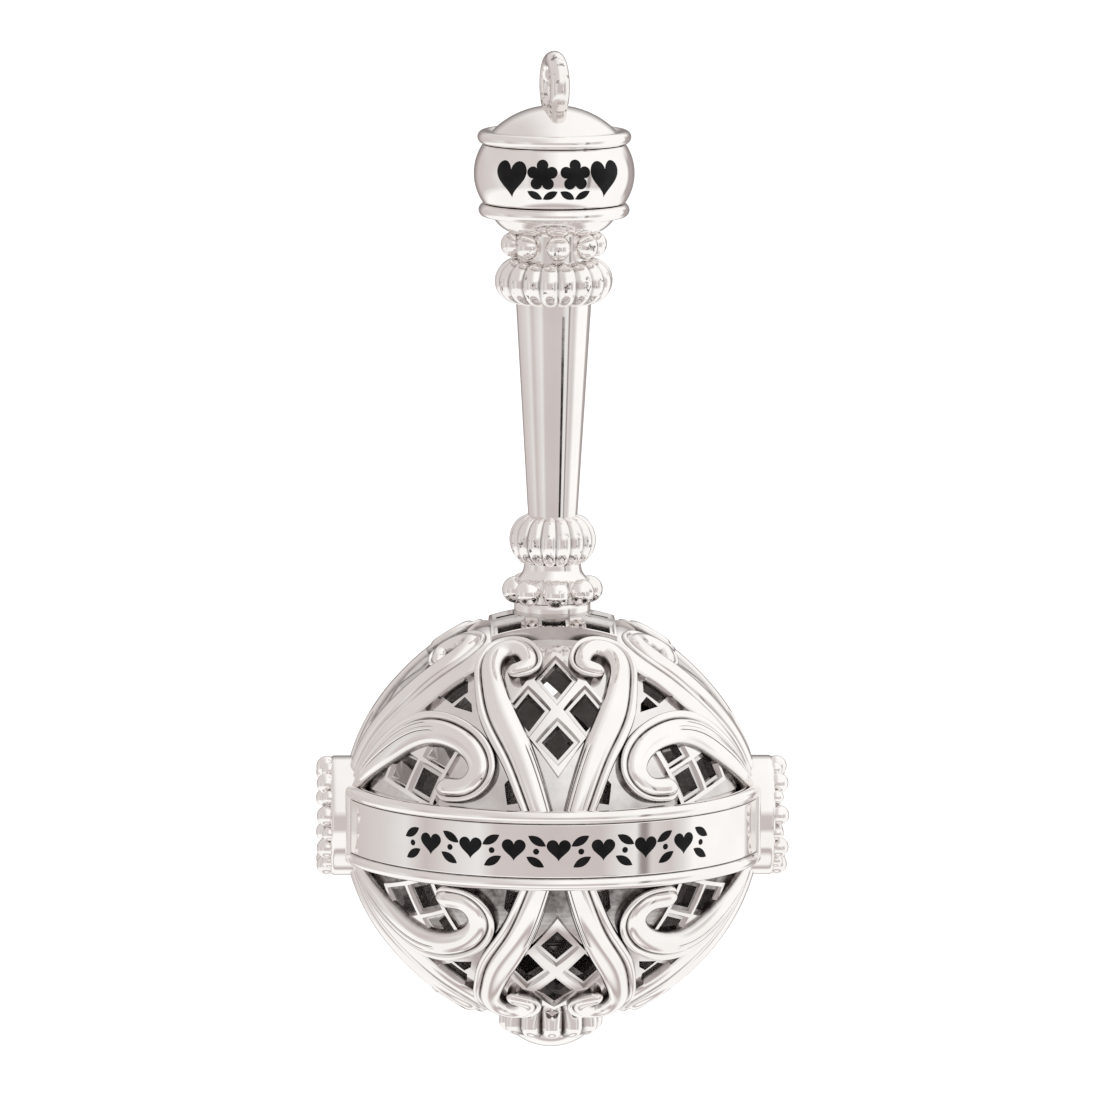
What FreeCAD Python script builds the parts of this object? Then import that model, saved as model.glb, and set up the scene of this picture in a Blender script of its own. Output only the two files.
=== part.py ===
"""Baby rattle: a pierced ball with a handle, hung from a ring, with a jingle bell loose in the ball.

Every height below is measured from the centre of the ball, in millimetres, with the handle
pointing up (+Z), the front at -Y and the two side medallions on the X axis.  When a piece is
written out it is moved down by EYE_Z, so the part's own origin is the centre of the ring's eye,
where the rattle hangs.
"""
import FreeCAD
import Part
import math
import os

Vector = FreeCAD.Vector

# ---------------------------------------------------------------- driving dimensions
EYE_Z = 80.8                # centre of the hanging ring above the centre of the ball
RING_R = 2.75               # hanging ring, centre line of its wire
RING_WIRE_R = 1.05
RING_TURN = 11.0            # the ring's axis is turned this many degrees from +X towards +Y
EYE_LAND = 1.0              # width of the cylindrical land inside the ring's eye

LATTICE_IN_R = 20.8         # the two pierced half shells
LATTICE_R = 22.0
SCROLL_R = 23.3             # top of the scroll castings that lie on the half shells
FLANGE_R = 22.6             # flange of each scroll casting, under the banners
CROWN_R = 23.1              # outer surface of the square grille on top of the ball
CROWN_IN_R = 21.6
CROWN_HALF = 6.85           # half the side of the square grille

BANNER_R = 23.35            # face of the two banners that run round the front and back half
BANNER_RIM_R = 23.7
BANNER_HALF = 4.35          # half the height of a banner
BANNER_RIM = 0.7            # radius of the half-round rims
BANNER_REACH = 76.0         # each banner runs this many degrees to either side
BANNER_BAR = 3.0            # width in degrees of the upright bar that closes each end

MEDALLION_R = 6.6
MEDALLION_X = 24.5          # flat face of the side medallions

ROD_R = 1.0                 # tie rod that clamps the handle's pieces together
ROD_FOOT_Z = 19.7
ROD_TOP_Z = 70.4
NUT_HEIGHT = 1.6
STEM_R = 0.8                # stem of the hanging ring
STEM_FOOT_Z = 73.0
SCREW_R = 0.9               # screw that holds the bottom finial
FIT = 0.05                  # radial clearance of pieces that slide onto each other

DRUM_EDGE_R = 7.8           # the drum is a barrel, bored through
DRUM_MIDDLE_R = 8.8
DRUM_BORE_R = 6.9
CAP_RIM_R = 7.7             # round rims above and below the drum: centre line and tube
CAP_RIM_TUBE_R = 0.72
BASE_RIM_R = 7.52
BASE_RIM_TUBE_R = 0.75
BEAD_COUNT = 8              # beads in each of the handle's two bead rings

BELL_R = 6.0                # jingle bell
BELL_WALL = 0.6
BELL_PATH_R = 13.0          # distance from the ball's centre to the bell's centre
PELLET_R = 1.5
PELLET_PATH_R = 3.5         # distance from the bell's centre to the pellet's centre

# heights along the handle
BASE_Z = 68.0               # top of the drum's base
DRUM_TOP_Z = 74.45
BOWL_FOOT_Z = 64.6
BEADS_FOOT_Z = 61.9
KNOP_FOOT_Z = 56.8
SHAFT_FOOT_Z = 33.6
LOWER_KNOP_FOOT_Z = 28.0
FLARE_FOOT_Z = 26.4
COLLAR_TOP_Z = 24.0
COLLAR_FOOT_Z = 22.9
COLLAR_R = 4.2
FINIAL_FOOT_Z = -24.2       # underside of the bottom finial's cup
BUTTON_FOOT_Z = -25.9       # lowest point of the rattle

UP = Vector(0, 0, 1)


# ---------------------------------------------------------------- shared shapes
def save(name, shape):
    """Write one piece, with the origin moved to the centre of the ring's eye."""
    placed = shape.copy()
    placed.translate(Vector(0, 0, -EYE_Z))
    placed.exportStep("parts/" + name + ".step")
    print(name, "solids", len(placed.Solids), "valid", placed.isValid(), "volume", round(placed.Volume, 1))


def turned(shape, degrees):
    """A copy of a shape turned about the rattle's own axis."""
    copy = shape.copy()
    copy.rotate(Vector(0, 0, 0), UP, degrees)
    return copy


def flipped_x(shape):
    return shape.mirror(Vector(0, 0, 0), Vector(1, 0, 0))


def flipped_z(shape):
    return shape.mirror(Vector(0, 0, 0), Vector(0, 0, 1))


def round_hole(radius, low, high):
    return Part.makeCylinder(radius, high - low, Vector(0, 0, low), UP)


def lathe(edges):
    """Solid of revolution about Z from a closed list of edges in the XZ plane."""
    return Part.Face(Part.Wire(edges)).revolve(Vector(0, 0, 0), UP, 360)


def line(a, b):
    return Part.makeLine(Vector(a[0], 0, a[1]), Vector(b[0], 0, b[1]))


def arc(a, middle, b):
    return Part.Arc(Vector(a[0], 0, a[1]), Vector(middle[0], 0, middle[1]), Vector(b[0], 0, b[1])).toShape()


def sphere_layer(inner, outer):
    return Part.makeSphere(outer).cut(Part.makeSphere(inner))


def slab(low, high):
    """A block much wider than the ball between two heights."""
    return Part.makeBox(80, 80, high - low, Vector(-40, -40, low))


class Chart:
    """A plane that touches the ball's surface at one azimuth and elevation.

    u runs to the right of the chart and w runs up it, both in millimetres from its centre.
    """

    def __init__(self, azimuth, elevation):
        a = math.radians(azimuth)
        e = math.radians(elevation)
        self.out = Vector(math.cos(e) * math.sin(a), -math.cos(e) * math.cos(a), math.sin(e))
        self.right = Vector(math.cos(a), math.sin(a), 0)
        self.up = Vector(-math.sin(e) * math.sin(a), math.sin(e) * math.cos(a), math.cos(e))

    def point(self, u, w, height):
        return self.out * height + self.right * u + self.up * w

    def polygon(self, corners, low, high):
        """A prism along the chart's own direction from a list of (u, w) corners."""
        points = [self.point(u, w, low) for u, w in corners]
        face = Part.Face(Part.makePolygon(points + points[:1]))
        return face.extrude(self.out * (high - low))

    def disc(self, u, w, radius, low, high):
        return Part.makeCylinder(radius, high - low, self.point(u, w, low), self.out)


# ---------------------------------------------------------------- scrolls on the ball
HEART_ELEVATION = 40.0
HEARTS = (0, 90, 180, 270)              # azimuths of the four hearts of each half
WAVE_AZIMUTH = 48.0                     # the curled scrolls beside the front and rear hearts
WAVE_ELEVATION = 23.0

# centre line of the right strand of a heart: u, w, half width
HEART_STRAND = (
    (1.9, -12.0, 1.55),
    (2.7, -9.8, 1.72),
    (4.6, -4.6, 1.92),
    (6.45, 0.0, 2.0),
    (7.25, 4.5, 1.62),
    (7.1, 7.7, 1.5),
    (5.8, 9.5, 1.5),
    (4.0, 9.5, 1.45),
    (2.85, 8.0, 1.35),
    (2.9, 6.3, 1.3),
    (4.2, 5.7, 1.1),
)

# centre line of the curled scroll on the right of the front heart, drawn mirrored (tail on the left)
WAVE_STRAND = (
    (-12.2, -4.9, 0.7),
    (-8.4, -1.9, 1.5),
    (-4.7, 0.8, 2.15),
    (-1.5, 2.8, 2.2),
    (1.4, 3.6, 1.98),
    (4.6, 3.4, 1.78),
    (7.4, 2.2, 1.65),
    (8.75, 0.0, 1.55),
    (7.7, -2.1, 1.4),
    (5.5, -2.75, 1.4),
)

STRAND_STEPS = 26


def strand_prism(chart, strand, mirrored=False):
    """A ribbon that follows a centre line of varying width, as a prism through the ball's surface."""
    centre = Part.BSplineCurve()
    centre.interpolate([Vector(*point) for point in strand])
    last = centre.LastParameter
    left = []
    right = []
    for step in range(STRAND_STEPS + 1):
        at = last * step / STRAND_STEPS
        p = centre.value(at)
        way = centre.tangent(at)[0]
        length = math.hypot(way.x, way.y)
        n = Vector(-way.y / length, way.x / length, 0)
        left.append((p.x + n.x * p.z, p.y + n.y * p.z))
        right.append((p.x - n.x * p.z, p.y - n.y * p.z))
    end = centre.value(last)
    way = centre.tangent(last)[0]
    length = math.hypot(way.x, way.y)
    tip = (end.x + way.x / length * end.z, end.y + way.y / length * end.z)
    sign = -1 if mirrored else 1
    low = 14.0
    reach = 12.0

    def place(point):
        return chart.point(sign * point[0], point[1], low)

    left_edge = Part.BSplineCurve()
    left_edge.interpolate([place(p) for p in left])
    right_edge = Part.BSplineCurve()
    right_edge.interpolate([place(p) for p in right])
    cap = Part.Arc(place(left[-1]), place(tip), place(right[-1])).toShape()
    foot = Part.makeLine(place(right[0]), place(left[0]))
    wire = Part.Wire([left_edge.toShape(), cap, right_edge.toShape(), foot])
    return Part.Face(wire).extrude(chart.out * reach)


def upper_scroll_blanks():
    """All the raised strands of the upper half, before they are trimmed to the banners."""
    layer = sphere_layer(LATTICE_R, SCROLL_R).common(slab(1.0, 24.0))
    heart = strand_prism(Chart(0, HEART_ELEVATION), HEART_STRAND).common(layer)
    wave = strand_prism(Chart(WAVE_AZIMUTH, WAVE_ELEVATION), WAVE_STRAND, mirrored=True).common(layer)
    strands = []
    for azimuth in HEARTS:
        strands.append(turned(heart, azimuth))
        strands.append(turned(flipped_x(heart), azimuth))
    for azimuth in (0, 180):
        strands.append(turned(wave, azimuth))
        strands.append(turned(flipped_x(wave), azimuth))
    return strands


# ---------------------------------------------------------------- windows of the half shells
CUT_LOW = 12.0                          # window prisms start and end well clear of the shells
CUT_HIGH = 24.0
# diamond windows inside a heart: centre u, w, half width, half height
HEART_WINDOWS = (
    (0.0, 4.4, 1.75, 2.65),
    (-3.1, 0.3, 1.8, 2.45),
    (3.1, 0.3, 1.8, 2.45),
    (0.0, -3.5, 1.75, 2.0),
)
WAVE_CROSSING = (-0.6, 0.1)             # where the bars inside a curled scroll cross
WAVE_LATTICE_TURN = 15.0
WAVE_WINDOW = 2.5                       # side of the square windows there
WAVE_BAR = 1.5                          # width of the bars between them
GAP_OVER_WAVE = ((1.9, 8.4), (1.3, 9.3), (-1.4, 9.8), (-2.4, 8.5), (-1.3, 6.8), (0.9, 7.5))
GAP_UNDER_BAR = ((-2.4, 7.9), (-3.75, 7.25), (-4.45, 6.3), (-1.75, 6.5))
GAP_BESIDE_WAVE = ((-10.9, -0.6), (-11.9, 1.6), (-13.4, -1.8), (-11.6, -2.7))


def heart_windows(azimuth):
    chart = Chart(azimuth, HEART_ELEVATION)
    prisms = []
    for u, w, half_width, half_height in HEART_WINDOWS:
        corners = ((u, w - half_height), (u + half_width, w), (u, w + half_height), (u - half_width, w))
        prisms.append(chart.polygon(corners, CUT_LOW, CUT_HIGH))
    return prisms


def wave_windows():
    """Windows round the curled scroll on the right of the front heart."""
    chart = Chart(WAVE_AZIMUTH, WAVE_ELEVATION)
    turn = math.radians(WAVE_LATTICE_TURN)
    along = (math.cos(turn), math.sin(turn))
    across = (-math.sin(turn), math.cos(turn))
    reach = (WAVE_WINDOW + WAVE_BAR) / 2
    prisms = []
    for i, j in ((-1, 1), (-1, -1), (1, -1)):
        corners = []
        for k, m in ((-1, -1), (1, -1), (1, 1), (-1, 1)):
            s = i * reach + k * WAVE_WINDOW / 2
            t = j * reach + m * WAVE_WINDOW / 2
            u = WAVE_CROSSING[0] + s * along[0] + t * across[0]
            w = WAVE_CROSSING[1] + s * along[1] + t * across[1]
            corners.append((u, w))
        prisms.append(chart.polygon(corners, CUT_LOW, CUT_HIGH))
    for gap in (GAP_OVER_WAVE, GAP_UNDER_BAR, GAP_BESIDE_WAVE):
        prisms.append(chart.polygon(gap, CUT_LOW, CUT_HIGH))
    return prisms


def pierced_half():
    """The upper half shell with its windows, still closed on top."""
    shell = sphere_layer(LATTICE_IN_R, LATTICE_R).common(slab(0, 30))
    windows = []
    for azimuth in HEARTS:
        windows += heart_windows(azimuth)
    right_front = wave_windows()
    for prism in right_front:
        windows.append(prism)
        windows.append(flipped_x(prism))
        windows.append(turned(prism, 180))
        windows.append(turned(flipped_x(prism), 180))
    return shell.cut(windows)


# ---------------------------------------------------------------- ball
def square_block(half, low, high):
    return Part.makeBox(2 * half, 2 * half, high - low, Vector(-half, -half, low))


def make_crown_grille():
    """Square pierced plate that carries the handle, on top of the upper half shell."""
    window = 2.6
    pitch = 4.85
    grille = sphere_layer(CROWN_IN_R, CROWN_R).common(square_block(CROWN_HALF, 10, 30))
    holes = []
    for i in (-1, 0, 1):
        for j in (-1, 0, 1):
            if i or j:
                corner = Vector(i * pitch - window / 2, j * pitch - window / 2, 10)
                holes.append(Part.makeBox(window, window, 20, corner))
    grille = grille.cut(holes)
    pad = round_hole(COLLAR_R, ROD_FOOT_Z + NUT_HEIGHT, COLLAR_FOOT_Z)
    above_pad = round_hole(COLLAR_R, COLLAR_FOOT_Z, 30)
    return grille.cut(above_pad).fuse(pad).cut(round_hole(ROD_R + FIT, 10, 30)).removeSplitter()


def make_upper_lattice(pierced):
    seat = square_block(CROWN_HALF + FIT, 10, 30).cut(Part.makeSphere(CROWN_IN_R))
    throat = square_block(CROWN_HALF - 0.6, 10, 30)
    return pierced.cut([seat, throat])


def make_lower_lattice(pierced):
    return flipped_z(pierced).cut(round_hole(SCREW_R + FIT, -30, -10))


def make_scroll_casting(blanks, trims):
    flange = sphere_layer(LATTICE_R, FLANGE_R).common(slab(0, BANNER_HALF))
    return flange.fuse(blanks).cut(trims).removeSplitter()


def banner_profile():
    """Cross-section of a banner: flat face between two half-round rims, hollowed to the flange."""
    rim_centre = BANNER_RIM_R - BANNER_RIM
    face_half = BANNER_HALF - 2 * BANNER_RIM
    inner_edge = math.sqrt(FLANGE_R ** 2 - BANNER_HALF ** 2)
    rim_middle = BANNER_HALF - BANNER_RIM
    return [
        line((inner_edge, BANNER_HALF), (rim_centre, BANNER_HALF)),
        arc((rim_centre, BANNER_HALF), (BANNER_RIM_R, rim_middle), (BANNER_R, face_half)),
        line((BANNER_R, face_half), (BANNER_R, -face_half)),
        arc((BANNER_R, -face_half), (BANNER_RIM_R, -rim_middle), (rim_centre, -BANNER_HALF)),
        line((rim_centre, -BANNER_HALF), (inner_edge, -BANNER_HALF)),
        arc((inner_edge, -BANNER_HALF), (FLANGE_R, 0), (inner_edge, BANNER_HALF)),
    ]


def sector(reach):
    """A wedge about Z that keeps what lies within `reach` degrees of the front."""
    a = math.radians(reach)
    far = 60.0
    points = [
        Vector(0, 0, -20),
        Vector(-far * math.sin(a), -far * math.cos(a), -20),
        Vector(-far, -far, -20),
        Vector(far, -far, -20),
        Vector(far * math.sin(a), -far * math.cos(a), -20),
        Vector(0, 0, -20),
    ]
    return Part.Face(Part.makePolygon(points)).extrude(Vector(0, 0, 40))


def make_banner(medallion_bodies):
    band = Part.Face(Part.Wire(banner_profile())).revolve(Vector(0, 0, 0), UP, 360)
    ring = round_hole(BANNER_RIM_R - 0.1, -BANNER_HALF, BANNER_HALF)
    ring = ring.cut(Part.makeSphere(FLANGE_R))
    bars = ring.common(sector(BANNER_REACH)).cut(sector(BANNER_REACH - BANNER_BAR))
    return band.common(sector(BANNER_REACH)).fuse(bars).cut(medallion_bodies).removeSplitter()


def medallion_body():
    """Plain body of the right medallion, from the scroll flange outwards."""
    body = Part.makeCylinder(MEDALLION_R, 10, Vector(15, 0, 0), Vector(1, 0, 0))
    face = Part.makeBox(20, 40, 40, Vector(MEDALLION_X, -20, -20))
    return body.cut([Part.makeSphere(FLANGE_R), face])


def make_medallion():
    """Right medallion: a round boss with a beaded rim and a low dome in the middle."""
    shape = medallion_body()
    bead_pairs = 9
    first = 9.0
    # radius of the bead, radius of its circle, and how far its centre stands off the flat face
    large_bead = (1.12, 5.5, 0.35)
    small_bead = (0.78, 5.8, 0.1)
    for step in range(2 * bead_pairs):
        angle = math.radians(first + step * 180.0 / bead_pairs)
        bead_r, ring_r, proud = small_bead if step % 2 else large_bead
        centre = Vector(MEDALLION_X + proud, -ring_r * math.cos(angle), ring_r * math.sin(angle))
        shape = shape.fuse(Part.makeSphere(bead_r, centre))
    dome_r = 4.3
    dome_height = 0.8
    dome_sphere = (dome_r ** 2 + dome_height ** 2) / (2 * dome_height)
    dome = Part.makeSphere(dome_sphere, Vector(MEDALLION_X + dome_height - dome_sphere, 0, 0))
    dome = dome.common(Part.makeCylinder(dome_r, 5, Vector(MEDALLION_X - 0.5, 0, 0), Vector(1, 0, 0)))
    return shape.fuse(dome).removeSplitter()


def make_bottom_finial():
    """Fluted cup that ends the ball, with a smooth button below it."""
    cup_r = 5.7
    foot_r = 4.4
    inside_z = -19.0
    body = lathe([
        line((0, inside_z), (cup_r, inside_z)),
        line((cup_r, inside_z), (cup_r, -22.6)),
        arc((cup_r, -22.6), (5.3, -23.7), (foot_r, FINIAL_FOOT_Z)),
        line((foot_r, FINIAL_FOOT_Z), (0, FINIAL_FOOT_Z)),
        line((0, FINIAL_FOOT_Z), (0, inside_z)),
    ])
    button_height = FINIAL_FOOT_Z - BUTTON_FOOT_Z
    button_sphere = (foot_r ** 2 + button_height ** 2) / (2 * button_height)
    button = Part.makeSphere(button_sphere, Vector(0, 0, BUTTON_FOOT_Z + button_sphere))
    button = button.common(slab(-30, FINIAL_FOOT_Z))
    flute_r = 0.85
    flute_ring_r = cup_r + 0.45
    flute_count = 12
    flutes = []
    for step in range(flute_count):
        angle = math.radians((step + 0.5) * 360.0 / flute_count)
        foot = Vector(flute_ring_r * math.cos(angle), flute_ring_r * math.sin(angle), FINIAL_FOOT_Z - 0.1)
        flutes.append(Part.makeCylinder(flute_r, 8, foot, UP))
    body = body.cut(flutes).cut(Part.makeSphere(LATTICE_R)).fuse(button)
    return body.cut(round_hole(SCREW_R + FIT, FINIAL_FOOT_Z - 0.2, -15)).removeSplitter()


def make_finial_screw():
    """Slotted screw from inside the ball; the seat of its head follows the half shell."""
    head_r = 1.7
    head_top_z = -20.0
    slot_depth = 0.4
    slot_width = 0.5
    head = round_hole(head_r, -LATTICE_IN_R, head_top_z).common(Part.makeSphere(LATTICE_IN_R - 0.01))
    shank = round_hole(SCREW_R, FINIAL_FOOT_Z, head_top_z - slot_depth)
    corner = Vector(-2 * head_r, -slot_width / 2, head_top_z - slot_depth)
    slot = Part.makeBox(4 * head_r, slot_width, slot_depth, corner)
    return head.fuse(shank).cut(slot).removeSplitter()


# ---------------------------------------------------------------- handle
def hexagon(across_flats, low, high):
    corner = across_flats / math.sqrt(3)
    points = []
    for step in range(7):
        angle = math.radians(60 * step)
        points.append(Vector(corner * math.cos(angle), corner * math.sin(angle), low))
    return Part.Face(Part.makePolygon(points)).extrude(Vector(0, 0, high - low))


def ring_axis():
    turn = math.radians(RING_TURN)
    return Vector(math.cos(turn), math.sin(turn), 0)


def make_hanging_loop():
    """Ring of round wire with a short stem; its eye has a narrow cylindrical land."""
    eye = Vector(0, 0, EYE_Z)
    ring = Part.makeTorus(RING_R, RING_WIRE_R, eye, ring_axis())
    land_r = RING_R - math.sqrt(RING_WIRE_R ** 2 - (EYE_LAND / 2) ** 2)
    stem = round_hole(STEM_R, STEM_FOOT_Z, EYE_Z - RING_R)
    eye_cut = Part.makeCylinder(land_r, 6, eye - ring_axis() * 3, ring_axis())
    print("eye land radius", round(land_r, 4))
    return ring.fuse(stem).cut(eye_cut).removeSplitter()


def make_end_cap(loop):
    """Domed lid with a round rim, and a spigot that drops into the drum."""
    dome_r = 9.6
    dome_top = 78.65
    edge_r = 6.8
    rim_z = DRUM_TOP_Z + 0.75
    edge_z = dome_top - dome_r + math.sqrt(dome_r ** 2 - edge_r ** 2)
    middle_r = 3.6
    middle_z = dome_top - dome_r + math.sqrt(dome_r ** 2 - middle_r ** 2)
    body = lathe([
        line((0, DRUM_TOP_Z), (0, dome_top)),
        arc((0, dome_top), (middle_r, middle_z), (edge_r, edge_z)),
        line((edge_r, edge_z), (CAP_RIM_R, rim_z)),
        line((CAP_RIM_R, rim_z), (CAP_RIM_R, DRUM_TOP_Z)),
        line((CAP_RIM_R, DRUM_TOP_Z), (0, DRUM_TOP_Z)),
    ])
    rim = Part.makeTorus(CAP_RIM_R, CAP_RIM_TUBE_R, Vector(0, 0, rim_z), UP)
    spigot = round_hole(DRUM_BORE_R - FIT, DRUM_TOP_Z - 0.8, DRUM_TOP_Z).cut(round_hole(6.0, 70, 80))
    return body.fuse([rim, spigot]).cut([round_hole(STEM_R + FIT, 70, 79), loop]).removeSplitter()


def drum_outline(inset):
    """Barrel side of the drum as a closed section, reaching from the axis to the outer face."""
    edge = DRUM_EDGE_R - inset
    middle = DRUM_MIDDLE_R - inset
    return lathe([
        line((0, BASE_Z), (edge, BASE_Z)),
        arc((edge, BASE_Z), (middle, (BASE_Z + DRUM_TOP_Z) / 2), (edge, DRUM_TOP_Z)),
        line((edge, DRUM_TOP_Z), (0, DRUM_TOP_Z)),
        line((0, DRUM_TOP_Z), (0, BASE_Z)),
    ])


def heart_face(chart, w, width, tall, height):
    """A heart of the given width, stretched `tall` times upwards, as a flat face in a chart."""
    s = width / 2

    def at(x, y):
        return chart.point(s * x, w + s * y * tall, height)

    right = Part.BSplineCurve()
    right.interpolate([at(0, -1.05), at(0.62, -0.38), at(1.0, 0.32), at(0.78, 0.82), at(0.3, 0.86), at(0, 0.5)])
    left = Part.BSplineCurve()
    left.interpolate([at(0, 0.5), at(-0.3, 0.86), at(-0.78, 0.82), at(-1.0, 0.32), at(-0.62, -0.38), at(0, -1.05)])
    return Part.Face(Part.Wire([right.toShape(), left.toShape()]))


def leaf_face(chart, u, w, length, width, turn_degrees, height):
    """A pointed leaf: two arcs that meet at its ends."""
    t = math.radians(turn_degrees)

    def at(x, y):
        return chart.point(u + x * math.cos(t) - y * math.sin(t), w + x * math.sin(t) + y * math.cos(t), height)

    half = length / 2
    side = width / 2
    upper = Part.Arc(at(-half, 0), at(0, side), at(half, 0)).toShape()
    lower = Part.Arc(at(half, 0), at(0, -side), at(-half, 0)).toShape()
    return Part.Face(Part.Wire([upper, lower]))


def flower_prism(chart, w, petal, reach, low, high):
    """Five round petals about a middle disc."""
    petals = []
    for step in range(5):
        angle = math.radians(90 + 72 * step)
        petals.append(chart.disc(reach * math.cos(angle), w + reach * math.sin(angle), petal, low, high))
    return chart.disc(0, w, petal, low, high).fuse(petals).removeSplitter()


INLAY_DEPTH = 0.3
DRUM_MOTIF_STEP = 24.0                  # degrees between the drum's four motifs
DRUM_MOTIF_TURN = 1.5                   # the whole row sits this many degrees to the right


def make_drum_inlays():
    """Two hearts and, between them, two flowers over pairs of leaves, flush with the drum's face."""
    skin = drum_outline(0).cut(drum_outline(INLAY_DEPTH))
    middle_z = (BASE_Z + DRUM_TOP_Z) / 2
    low = 6
    depth = 5
    heart_z = middle_z + 0.15
    heart_width = 3.9
    heart_tall = 1.15
    flower_z = middle_z + 0.55
    petal_r = 0.66
    petal_reach = 1.1
    leaf_z = middle_z - 1.62
    leaf_length = 1.9
    leaf_width = 0.85
    leaf_out = 0.85
    leaf_turn = 28.0
    pieces = []
    for step in range(4):
        chart = Chart((step - 1.5) * DRUM_MOTIF_STEP + DRUM_MOTIF_TURN, 0)
        if step in (0, 3):
            heart = heart_face(chart, heart_z, heart_width, heart_tall, low)
            pieces.append(heart.extrude(chart.out * depth))
        else:
            pieces.append(flower_prism(chart, flower_z, petal_r, petal_reach, low, low + depth))
            for side in (-1, 1):
                leaf = leaf_face(chart, leaf_out * side, leaf_z, leaf_length, leaf_width, leaf_turn * side, low)
                pieces.append(leaf.extrude(chart.out * depth))
    return Part.makeCompound([piece.common(skin) for piece in pieces])


def make_drum(inlays):
    return drum_outline(0).cut(round_hole(DRUM_BORE_R, 60, 80)).cut(inlays.Solids)


def make_drum_base(beads):
    """Shallow bowl under the drum, with a round rim."""
    body = lathe([
        line((0, BASE_Z), (BASE_RIM_R, BASE_Z)),
        line((BASE_RIM_R, BASE_Z), (BASE_RIM_R, 66.6)),
        line((BASE_RIM_R, 66.6), (6.7, 66.5)),
        arc((6.7, 66.5), (5.75, 65.35), (4.4, BOWL_FOOT_Z)),
        line((4.4, BOWL_FOOT_Z), (0, BOWL_FOOT_Z)),
        line((0, BOWL_FOOT_Z), (0, BASE_Z)),
    ])
    rim = Part.makeTorus(BASE_RIM_R, BASE_RIM_TUBE_R, Vector(0, 0, BASE_Z - 0.8), UP)
    return body.fuse(rim).cut([round_hole(ROD_R + FIT, 60, 70), beads]).removeSplitter()


def bead_ring(core_r, low, high, bead_z, bead_ring_r, bead_r, first):
    """A short core with a ring of round beads let into it; `first` degrees turn the whole ring."""
    beads = []
    for step in range(BEAD_COUNT):
        angle = math.radians(first - 90 + step * 360.0 / BEAD_COUNT)
        outwards = Vector(math.cos(angle), math.sin(angle), 0)
        beads.append(Part.makeSphere(bead_r, outwards * bead_ring_r + UP * bead_z, outwards))
    core = round_hole(core_r, low, high).fuse(beads)
    return core.cut(round_hole(ROD_R + FIT, low - 1, high + 1)).removeSplitter()


def knop(top, foot, top_r, widest_r, widest_z, foot_r, lobes, first):
    """A bulging collar with upright lobes, cut by narrow grooves."""
    body = lathe([
        line((0, foot), (foot_r, foot)),
        arc((foot_r, foot), (widest_r, widest_z), (top_r, top)),
        line((top_r, top), (0, top)),
        line((0, top), (0, foot)),
    ])
    groove_depth = 0.12 * widest_r
    half_width = 0.07 * widest_r
    tip = Vector(widest_r - groove_depth, 0, foot - 1)
    mouth = widest_r + 1
    spread = half_width * (mouth - tip.x) / groove_depth
    points = [tip, Vector(mouth, -spread, foot - 1), Vector(mouth, spread, foot - 1), tip]
    groove = Part.Face(Part.makePolygon(points)).extrude(Vector(0, 0, top - foot + 2))
    grooves = [turned(groove, first - 90 + step * 360.0 / lobes) for step in range(lobes)]
    return body.cut(grooves).cut(round_hole(ROD_R + FIT, foot - 1, top + 1))


def make_handle_shaft():
    """Tapered tube, wider at the top."""
    top_r = 4.12
    foot_r = 2.72
    wall = 0.7
    height = KNOP_FOOT_Z - SHAFT_FOOT_Z
    outside = Part.makeCone(foot_r, top_r, height, Vector(0, 0, SHAFT_FOOT_Z), UP)
    inside = Part.makeCone(foot_r - wall, top_r - wall, height, Vector(0, 0, SHAFT_FOOT_Z), UP)
    return outside.cut(inside)


def make_neck_flare(beads):
    """Hollow-curved ring between the lower knop and the beads."""
    body = lathe([
        line((0, LOWER_KNOP_FOOT_Z), (3.1, LOWER_KNOP_FOOT_Z)),
        arc((3.1, LOWER_KNOP_FOOT_Z), (3.4, 27.05), (4.0, FLARE_FOOT_Z)),
        line((4.0, FLARE_FOOT_Z), (0, FLARE_FOOT_Z)),
        line((0, FLARE_FOOT_Z), (0, LOWER_KNOP_FOOT_Z)),
    ])
    return body.cut([round_hole(ROD_R + FIT, 20, 30), beads])


def make_neck_collar(beads):
    body = round_hole(COLLAR_R, COLLAR_FOOT_Z, COLLAR_TOP_Z)
    return body.cut([round_hole(ROD_R + FIT, 20, 30), beads])


def nut(across_flats, bore, low, high):
    return hexagon(across_flats, low, high).cut(round_hole(bore, low - 1, high + 1))


# ---------------------------------------------------------------- banner inlay
BANNER_MOTIF_STEP = 12.0                # degrees between the hearts of the banner
BANNER_HEARTS = 7
LEAF_LENGTH = 2.3
LEAF_WIDTH = 0.95
LEAF_TURN = 30.0


def make_banner_inlays():
    """A running row of enamel hearts with a pair of leaves and a dot between neighbours."""
    face_half = BANNER_HALF - 2 * BANNER_RIM
    skin = round_hole(BANNER_R, -face_half, face_half)
    skin = skin.cut(round_hole(BANNER_R - INLAY_DEPTH, -face_half - 1, face_half + 1))
    pieces = []
    low = 20
    leaf_rise = 1.15
    for step in range(2 * BANNER_HEARTS + 1):
        chart = Chart((step - BANNER_HEARTS) * BANNER_MOTIF_STEP / 2, 0)
        if step % 2 == 1:
            pieces.append(heart_face(chart, 0.1, 2.7, 1.0, low).extrude(chart.out * 5).common(skin))
        else:
            side = 1 if step % 4 == 0 else -1
            for u, w in ((-0.1, leaf_rise * side), (0.1, -leaf_rise * side)):
                leaf = leaf_face(chart, u, w, LEAF_LENGTH, LEAF_WIDTH, LEAF_TURN * side, low)
                pieces.append(leaf.extrude(chart.out * 5).common(skin))
            pieces.append(chart.disc(0, 0, 0.34, low, low + 5).common(skin))
    return Part.makeCompound(pieces)


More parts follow.
